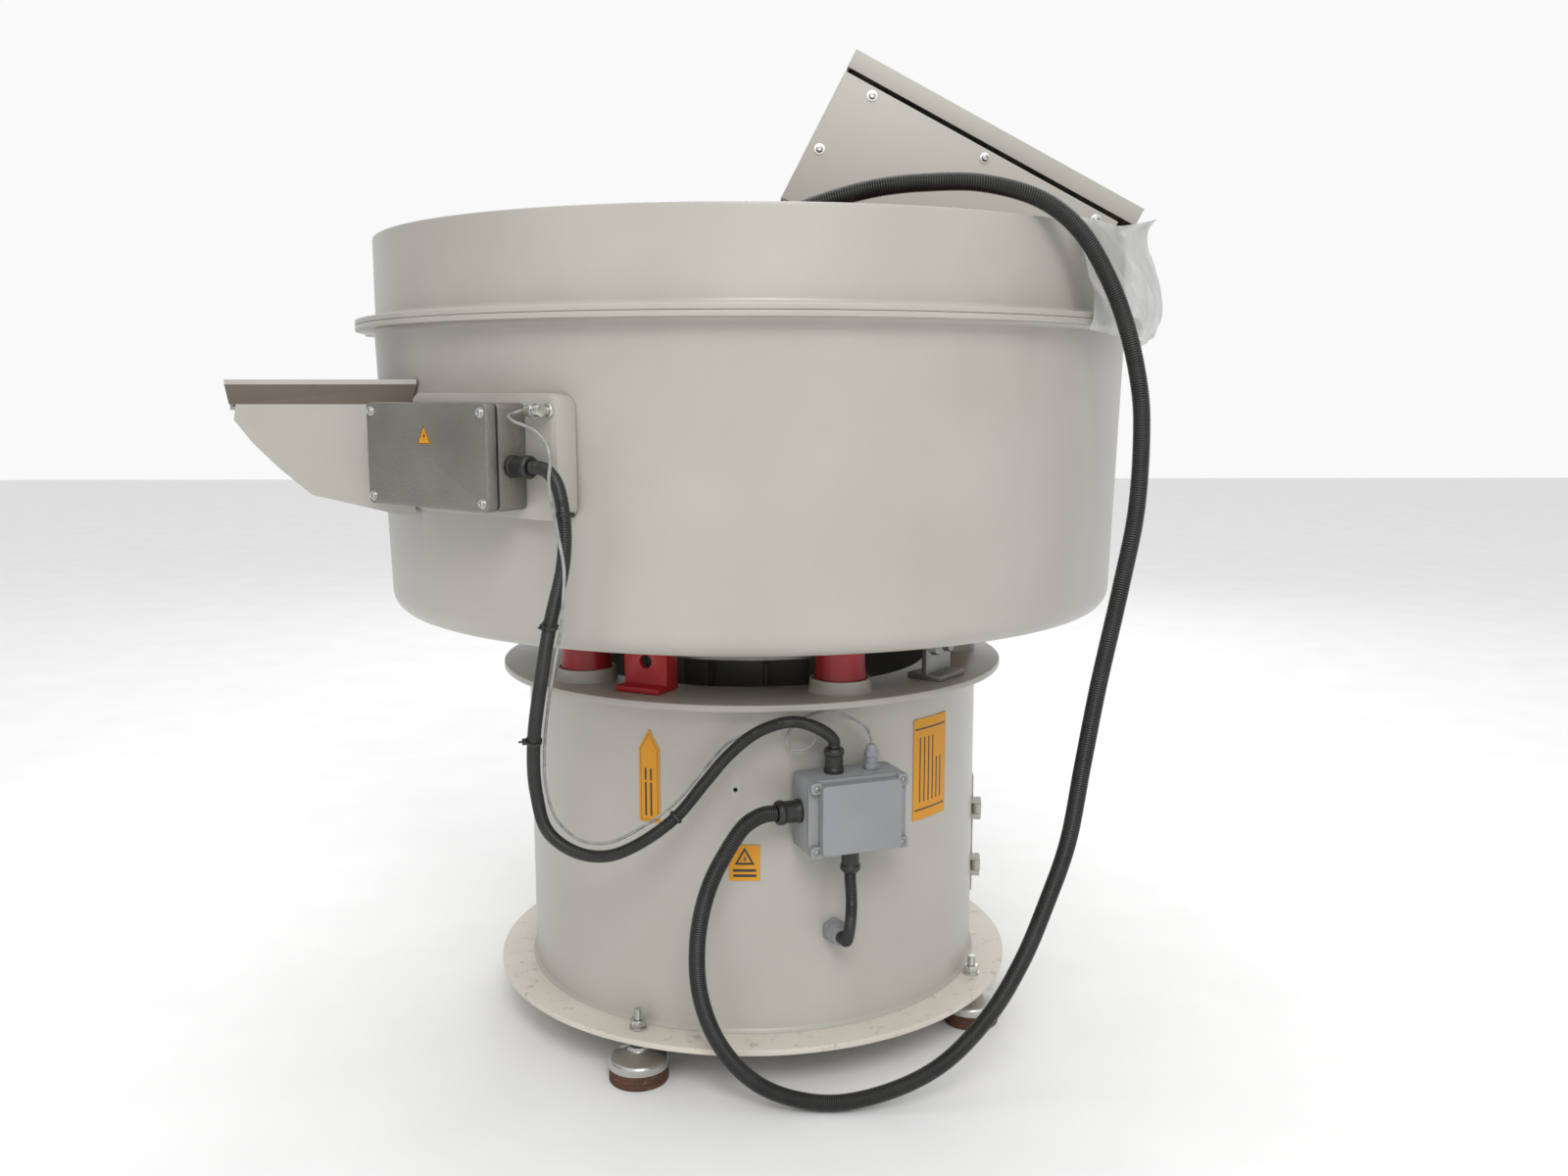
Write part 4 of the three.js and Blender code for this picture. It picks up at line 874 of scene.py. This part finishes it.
def make_hazard_label():
    shape, mark = blank_label(oblong(-20, 20, -24, 24), *HAZARD_LABEL)
    outer, bolt = triangle_mark(13)
    lifted = [(x, y + 8) for x, y in outer]
    hole = [(x * 0.66, y * 0.66 + 7.4) for x, y in outer]
    for k in range(3):
        mark([lifted[k], lifted[(k + 1) % 3], hole[(k + 1) % 3], hole[k]])
    mark([(x * 0.8, y * 0.7 + 6) for x, y in bolt])
    for y in (-10, -17):
        mark(oblong(-15, 15, y - 1.8, y + 1.8))
    stick("hazard_sticker", shape, "hazard_label")


def make_junction_box():
    refined("junction_box_shell", "junction_box", "base", ["grey_plastic"], 1.5)
    place = station(JUNCTION_AZIMUTH, JUNCTION_R, JUNCTION_Z) @ OUTWARDS
    w, h, z = JUNCTION_W, JUNCTION_H, JUNCTION_BODY + GAP + 0.9
    shape = Shape()
    shape.add(prism(rounded(w, h, 6), z, z + 8), place)
    shape.add(prism(rounded(w - 26, h - 8, 6), z + 7, z + JUNCTION_LID), place)
    corners = [(sx * (w / 2 - 8), sy * (h / 2 - 8)) for sx in (-1, 1) for sy in (-1, 1)]
    for x, y in corners:
        shape.add(prism(rounded(15, 15, 4), z + 7, z + 16), place @ shift(x, y, 0))
    piece("junction_box_cover", shape, "base", ["grey_plastic"], ["junction_box_lid"], bevel=1.4)
    screws = Shape()
    for x, y in corners:
        screws.add(button_screw(4, 2.2), place @ shift(x, y, z + 16.4))
    piece("junction_box_screws", screws, "base", ["bare_steel"])


# ---- bowl ---------------------------------------------------------------------------------------
def splice_ear(back, z0, z1):
    """Rounded ear on a rim, where its two ends are bolted together; back is its inner y."""
    return prism(softened(oblong(-SPLICE_HALF, SPLICE_HALF, -SPLICE_R, back), 3), z0, z1)


def make_bowl():
    mouth = Shape().add(brick(*MOUTH))
    wall, corner = SHELL_WALL, SHELL_CORNER
    outline = [
        (HUB_R, SHELL_Z),
        *arc(SHELL_BOTTOM_R - corner, SHELL_Z + corner, corner, -90, 0, 10),
        (SHELL_TOP_R, FLANGE_Z - 5), (SHELL_TOP_R + 1, FLANGE_Z - 2.5), (SHELL_TOP_R + 4, FLANGE_Z),
        *softened([(SHELL_TOP_R + 8, FLANGE_Z), (FLANGE_R, FLANGE_Z), (FLANGE_R, FLANGE_TOP),
                   (SHELL_TOP_R, FLANGE_TOP)], 1.4, False),
        (SHELL_TOP_R - wall, FLANGE_TOP),
        *arc(SHELL_BOTTOM_R - corner, SHELL_Z + corner, corner - wall, 0, -90, 10),
        (HUB_R, SHELL_Z + wall), (HUB_R, HUB_TOP), (HUB_R - HUB_WALL, HUB_TOP), (HUB_R - HUB_WALL, SHELL_Z),
    ]
    shape = Shape().add(lathe(outline, BOWL_ROUND))
    shape.add(splice_ear(-SHELL_TOP_R + 6, FLANGE_Z, FLANGE_TOP), turn("Z", SPLICE_AZIMUTH))
    piece("bowl_outer_shell", shape, "bowl", ["painted_steel"], ["bowl_shell"], cutters=[mouth])


def make_lining():
    middle, radius = (LINING_INNER + LINING_OUTER) / 2, (LINING_OUTER - LINING_INNER) / 2
    arc_z, top, edge = LINING_ARC_Z, LINING_TOP, 954

    def wall_at(z):
        return SHELL_TOP_R - SHELL_WALL - 1.2 - (FLANGE_TOP - z) * SHELL_TAPER

    outline = [
        (LINING_INNER - LINING_THICK, edge), *arc(middle, arc_z, radius + LINING_THICK, 180, 360, 36),
        (wall_at(arc_z), arc_z + 10), (wall_at(top), top), (LINING_OUTER + 6, top),
        *arc(middle, arc_z, radius, 0, -180, 36), (LINING_INNER, edge),
    ]
    piece("bowl_lining_cast", Shape().add(lathe(outline, BOWL_ROUND)), "bowl", ["bowl_polyurethane"],
          ["bowl_lining"], cutters=[Shape().add(brick(*MOUTH))])


def make_splash_ring():
    r, wall, z0, top = RING_R, 4, FLANGE_TOP + GAP, RING_TOP
    outline = [
        (r - wall, z0), *softened([(r, z0), (FLANGE_R, z0), (FLANGE_R, z0 + 7), (r + 6, z0 + 7)], 1.4, False),
        (r + 2.4, z0 + 8.4), (r + 0.6, z0 + 11), (r, z0 + 14),
        *softened([(r, top - 6), (r, top), (r - wall, top), (r - wall, top - 6)], 1.6, False),
    ]
    shape = Shape().add(lathe(outline, BOWL_ROUND))
    side = turn("Z", SPLICE_AZIMUTH)
    shape.add(splice_ear(-r + 1, z0, z0 + 7), side)
    shape.add(brick(-SPLICE_HALF, -SPLICE_HALF / 2, 3 - SPLICE_R, -r + 1, z0 + 1, z0 + 21), side)
    piece("splash_ring_shell", shape, "bowl", ["painted_steel"], ["splash_ring"])
    place = side @ shift(4, 10 - SPLICE_R, z0)
    bolt = Shape().add(hex_nut(13, 7.6, 14), place).add(disc(9, 6.8, 8.4, 0.4), place)
    piece("splice_bolt", bolt, "bowl", ["zinc_plate"])


def make_hub_cover():
    z0 = HUB_TOP + GAP
    cover = softened([(192, z0), (192, 974), (152, 1000), (0, 1000)], 4, False)
    under = [(0, 996), (150, 996), (188, 972), (188, z0)]
    shape = Shape().add(lathe([*cover, *under][::-1], 128))
    piece("hub_cover_dish", shape, "bowl", ["painted_steel"], ["hub_cover"])


def make_motor():
    refined("motor_skirt_ring", "motor_skirt", "bowl", ["bare_steel"], 0.0)
    refined("motor_housing_cast", "motor_housing", "bowl", ["cast_aluminium"], 0.0)
    for cad_node in ("motor_shaft", "upper_weight", "lower_weight"):
        refined(cad_node + "_turned", cad_node, "rotor", ["bare_steel"], 0.6)


def make_chute():
    # Faces of the flared lips, below the top edge, take the second slot: painted shade under the flare.
    def chute_look(centre):
        flared = centre.y < CHUTE_NEAR - 0.5 or centre.y > CHUTE_FAR + 0.5
        return 1 if flared and centre.z < CHUTE_TOP - 5 else 0

    refined("chute_pan", "discharge_chute", "bowl", ["painted_steel", "painted_shade_band"], 0.7, chute_look)
    refined("separation_screen_plate", "separation_screen", "bowl", ["bare_steel"], 0.0)
    refined("discharge_flap_leaf", "discharge_flap", "flap", ["bare_steel"], 0.6)


def make_terminal_box():
    back = station(TERMINAL_AZIMUTH).inverted()

    def pad_look(centre):
        local = back @ centre
        return 1 if local.x > 120 and local.y < -PAD_FRONT - 0.8 else 0

    refined("terminal_pad", "terminal_box_pad", "bowl", ["painted_steel", "zinc_plate"], 1.6, pad_look)
    box = station(TERMINAL_AZIMUTH, TERMINAL_R, TERMINAL_Z)
    elbow = Shape()
    fitting = station(TERMINAL_AZIMUTH, PAD_FRONT, TERMINAL_Z) @ shift(ELBOW_X, 0, ELBOW_Z)
    foot = softened([(5.2, 0), (8.2, 0), (8.2, 2), (7.4, 4), (5.2, 4)], 0.5)
    elbow.add(lathe(foot, SMALL_ROUND), fitting @ OUTWARDS)
    elbow.add(hoop(7.2, 8.4, 3, 8, 0.5), fitting @ shift(0, -ELBOW_STAND, 0) @ turn("Y", -90))
    piece("sensor_elbow_collars", elbow, "bowl", ["zinc_plate"])

    refined("terminal_box_body", "terminal_box", "bowl", ["cast_aluminium"], 1.0)
    refined("terminal_box_gasket", "terminal_box_seal", "bowl", ["black_plastic"], 0.0)
    face = box @ OUTWARDS
    z = TERMINAL_BODY + 2.9
    lid = Shape().add(prism(rounded(TERMINAL_W, TERMINAL_H, 7), z, z + TERMINAL_LID), face)
    piece("terminal_box_cover", lid, "bowl", ["cast_aluminium"], ["terminal_box_lid"], bevel=2.2)
    screws = Shape()
    for sx in (-1, 1):
        for sy in (-1, 1):
            place = face @ shift(sx * (TERMINAL_W / 2 - 10), sy * (TERMINAL_H / 2 - 10), z + TERMINAL_LID - 1)
            screws.add(disc(6.2, 0, 1.6, 0.4, 24), place)
            screws.add(socket_screw(4.6, 4.6), place)
    piece("terminal_box_screws", screws, "bowl", ["zinc_plate"])
    sticker = Shape()
    outer, bolt = triangle_mark(12.5)
    place = face @ shift(0, 23, z + TERMINAL_LID)
    sticker.add(prism(outer, 0, 0.3), place)
    hole = [(x * 0.72, y * 0.72 - 0.4) for x, y in outer]
    for k in range(3):
        quad = [outer[k], outer[(k + 1) % 3], hole[(k + 1) % 3], hole[k]]
        slim = [(p[0] * 0.96, p[1] * 0.96) for p in quad[:2]] + [(p[0] * 1.16, p[1] * 1.16) for p in quad[2:]]
        sticker.add(prism(slim, 0.3, 0.4), place, 1)
    sticker.add(prism([(x * 0.8, y * 0.8) for x, y in bolt], 0.3, 0.4), place, 1)
    piece("terminal_hazard_mark", sticker, "bowl", ["label_film", "label_black"])


# ---- cabinet ------------------------------------------------------------------------------------
SIDE_SCREWS = [(45, 12), (211, 12), (377, 12), (16, 102), (389, 102), (45, 168), (211, 168), (360, 168)]


def make_cabinet():
    half, length = CABINET_HALF, CABINET_LENGTH
    refined("cabinet_tub", "cabinet_body", "bowl", ["cabinet_paint"], 1.2)
    cover = Shape().add(brick(2, length - 2, -half - 2.3, -half - GAP, BACK_Z + 2, RIM_Z - 2), CABINET)
    piece("cabinet_side_panel", cover, "bowl", ["cabinet_paint"], ["cabinet_side_cover"], bevel=0.7)
    screws = Shape()
    for x, depth in SIDE_SCREWS:
        place = CABINET @ shift(x, -half - 2.3, RIM_Z - depth) @ OUTWARDS
        screws.add(disc(7, 0, 1, 0.3, 24), place)
        screws.add(button_screw(4.8, 2.9), place @ shift(0, 0, 0.9))
    piece("cabinet_side_screws", screws, "bowl", ["zinc_plate"])
    refined("cabinet_door_tray", "cabinet_door", "cabinet_door", ["cabinet_paint"], 1.6)
    refined("control_chassis_plate", "control_chassis", "bowl", ["zinc_plate"], 0.6)

    def cradle_look(centre):
        return 1 if centre.y < -CRADLE_HALF - 0.2 else 0

    refined("cradle_box", "cabinet_cradle", "bowl", ["cabinet_paint", "black_plastic"], 1.0, cradle_look)

    stop = CABINET @ shift(90, 60, 0)
    mushroom = [(0, -16), (11, -16), (11, 9), (19, 10.5), (20, 13), (20, 18), (15, 24.5), (7, 26.6), (0, 27)]
    piece("stop_mushroom", turned(mushroom, 1.6, stop), "stop_button", ["button_red"],
          ["emergency_stop_button"])
    start = CABINET @ shift(90, -60, 0)
    push = [(0, -14), (11, -14), (11, 8), (9.5, 8), (8.5, 7), (0, 7)]
    piece("start_push", turned(push, 0.8, start), "start_button", ["button_green"], ["start_button"])
    collars = Shape()
    for place, r in ((stop, 17), (start, 15)):
        collars.add(lathe(softened([(11.7, 0.1), (r, 0.1), (r - 1, 4), (11.7, 4)], 0.8), 64), place)
    piece("button_collars", collars, "cabinet_door", ["zinc_plate"])

    dial = CABINET @ shift(190, 60, 0)
    knob = Shape().add(disc(5, -12, 5), dial)
    knob.add(lathe(softened([(0, 2), (17, 2), (16, 18), (0, 18)], 1.4, False), 64), dial)
    for i in range(24):
        knob.add(brick(16, 17.2, -0.8, 0.8, 4, 16), dial @ turn("Z", 15 * i))
    knob.add(brick(-16, -3, -1.0, 1.0, 17.5, 18.6), dial, 1)
    piece("speed_knob", knob, "dial", ["black_plastic", "label_film"], ["speed_dial"])
    ticks = Shape()
    for i in range(10):
        ticks.add(brick(20, 24, -0.5, 0.5, 0, 0.3), dial @ turn("Z", 180 + 30 * i))
    piece("dial_scale", ticks, "cabinet_door", ["label_black"])
    refined("door_latch_key", "door_latch", "cabinet_latch", ["zinc_plate"], 0.6)


def make_access_door():
    refined("access_door_leaf", "access_door", "access_door", ["painted_steel"], 0.6)
    refined("access_latch_knob", "access_door_latch", "access_latch", ["black_plastic"], 0.8)


# ---- protective film ----------------------------------------------------------------------------
FILM_FROM, FILM_TO = 46.0, 106.0
FILM_COLUMNS, FILM_ROWS = 150, 56
DOOR_END_X = 518           # where the cabinet door's low end comes down inside the splash ring
CLEARANCE = 1.5            # between the film and the metal that it lies on


def between(t, low, high):
    t = max(0.0, min(1.0, (t - low) / (high - low)))
    return t * t * (3 - 2 * t)


def film_drop(azimuth, u):
    """Section of the film at an azimuth: from inside the rim, over it and down to the flange."""
    under_door = between(azimuth, 60, 70) * (1 - between(azimuth, 110, 116))
    bulge = 24 * between(azimuth, 56, 82) * (1 - 0.4 * between(azimuth, 92, 106))
    door_r = DOOR_END_X / max(math.sin(math.radians(azimuth)), 0.5)
    start_r = (RING_R - 5) * (1 - under_door) + (door_r + 1) * under_door
    start_z = RING_TOP - 8 + under_door * 22
    crest_r, crest_z = start_r + 8 + 4 * under_door, RING_TOP + 6 + 16 * under_door
    profile = [
        (start_r, start_z), (crest_r, crest_z), (539 + bulge * 0.75, RING_TOP - 16 + 6 * under_door),
        (548 + bulge, 1052), (559 + bulge * 0.8, 1012), (562 + bulge * 0.55, 994),
        (560 + bulge * 0.3, 978 - 7 * math.sin(u * 9) - 8 * under_door),
    ]
    return smooth_route([(r, 0, z) for r, z in profile], 2.0)


def film_point(azimuth, u, v, line):
    """Where the film lies at (u, v), with its folds and wrinkles."""
    at = v * (len(line) - 1)
    k = min(int(at), len(line) - 2)
    p = line[k].lerp(line[k + 1], at - k)
    ragged = 4 * noise.noise(Vector((v * 2.6, 0, 7))) - 3 * v * v
    a = math.radians(azimuth + ragged * between(u, 0.7, 1))
    hold = between(v, 0.02, 0.3)
    fold_phase = u * 17 - v * 6 + 2.0 * noise.noise(Vector((u * 3.5, v * 2, 1.5)))
    fold = abs(math.sin(fold_phase)) ** 0.8 - 0.6
    wrinkle = noise.noise(Vector((u * 11 - v * 4, v * 3.5, 4.0)))
    crinkle = 0.5 * noise.noise(Vector((u * 26 - v * 9, v * 12, 8.0)))
    out = (4.2 * fold + 4.6 * wrinkle) * hold + crinkle
    off_ring = RING_R + CLEARANCE if p.z < RING_TOP + 1 and v > 0.15 else 0
    off_flange = FLANGE_R + CLEARANCE if p.z < FLANGE_TOP + 12 else 0
    r = max(p.x + out, off_ring, off_flange)
    return r * math.sin(a), -r * math.cos(a), p.z + 2.5 * wrinkle * hold


def make_film():
    """A clear sheet draped from the cabinet's low end over the splash ring's rim down to the flange."""
    columns, rows = FILM_COLUMNS, FILM_ROWS
    verts = []
    for i in range(columns + 1):
        u = i / columns
        azimuth = FILM_FROM + (FILM_TO - FILM_FROM) * u
        line = film_drop(azimuth, u)
        verts += [film_point(azimuth, u, j / rows, line) for j in range(rows + 1)]
    starts = [i * (rows + 1) + j for i in range(columns) for j in range(rows)]
    faces = [[k, k + 1, k + rows + 2, k + rows + 1] for k in starts]
    film = piece("protective_film", Shape().add((verts, faces)), "bowl", ["film"], sharp=math.radians(180))


# ---- stage --------------------------------------------------------------------------------------
def make_stage():
    mesh = bpy.data.meshes.new("floor")
    mesh.from_pydata([(x, y, 0) for x, y in oblong(-12, 12, -12, 12)], [], [[0, 1, 2, 3]])
    floor = put("floor", mesh)
    floor.location.z = -0.0005
    mesh.materials.append(look("floor_pale", (0.84, 0.84, 0.84), (0.87, 0.87, 0.87), (0.8, 0.9)))

    for name, place, size, power, target in (
            ("key", (0.3, -3.4, 3.0), 1.4, 62, (0, 0, 0.7)),
            ("top", (0, 0.3, 4.2), 3.0, 42, (0, 0, 0)),
            ("back", (0.5, 3.4, 2.6), 2.5, 26, (0, 0, 0.8))):
        data = bpy.data.lights.new(name, "AREA")
        data.size, data.energy = size, power
        lamp = put(name, data)
        lamp.location = place
        lamp.rotation_euler = (Vector(target) - Vector(place)).to_track_quat("-Z", "Y").to_euler()

    # white in front and behind, dim to both sides, so that round shapes darken towards their edges
    world = bpy.data.worlds.new("studio")
    world.use_nodes = True
    tree = world.node_tree
    background = next(n for n in tree.nodes if n.type == "BACKGROUND")
    background.inputs["Color"].default_value = (1, 1, 1, 1)
    direction = node(tree, "ShaderNodeTexCoord").outputs["Generated"]
    sideways = node(tree, "ShaderNodeSeparateXYZ", [(0, direction)]).outputs["X"]
    away = node(tree, "ShaderNodeMath", [(0, sideways)], operation="ABSOLUTE").outputs[0]
    steps = [("Value", away), ("From Min", 0.5), ("From Max", 1.0), ("To Min", 0.95), ("To Max", 0.24)]
    strength = node(tree, "ShaderNodeMapRange", steps, interpolation_type="SMOOTHSTEP")
    tree.links.new(strength.outputs[0], background.inputs["Strength"])
    bpy.context.scene.world = world
    bpy.context.scene.view_settings.view_transform = "Standard"


make_camera()
make_conduits()
make_glands()
make_pedestal()
make_mounts()
make_brackets()
make_arrow_label()
make_instruction_label()
make_hazard_label()
make_junction_box()
make_bowl()
make_lining()
make_splash_ring()
make_hub_cover()
make_motor()
make_chute()
make_terminal_box()
make_cabinet()
make_access_door()
make_film()
make_stage()
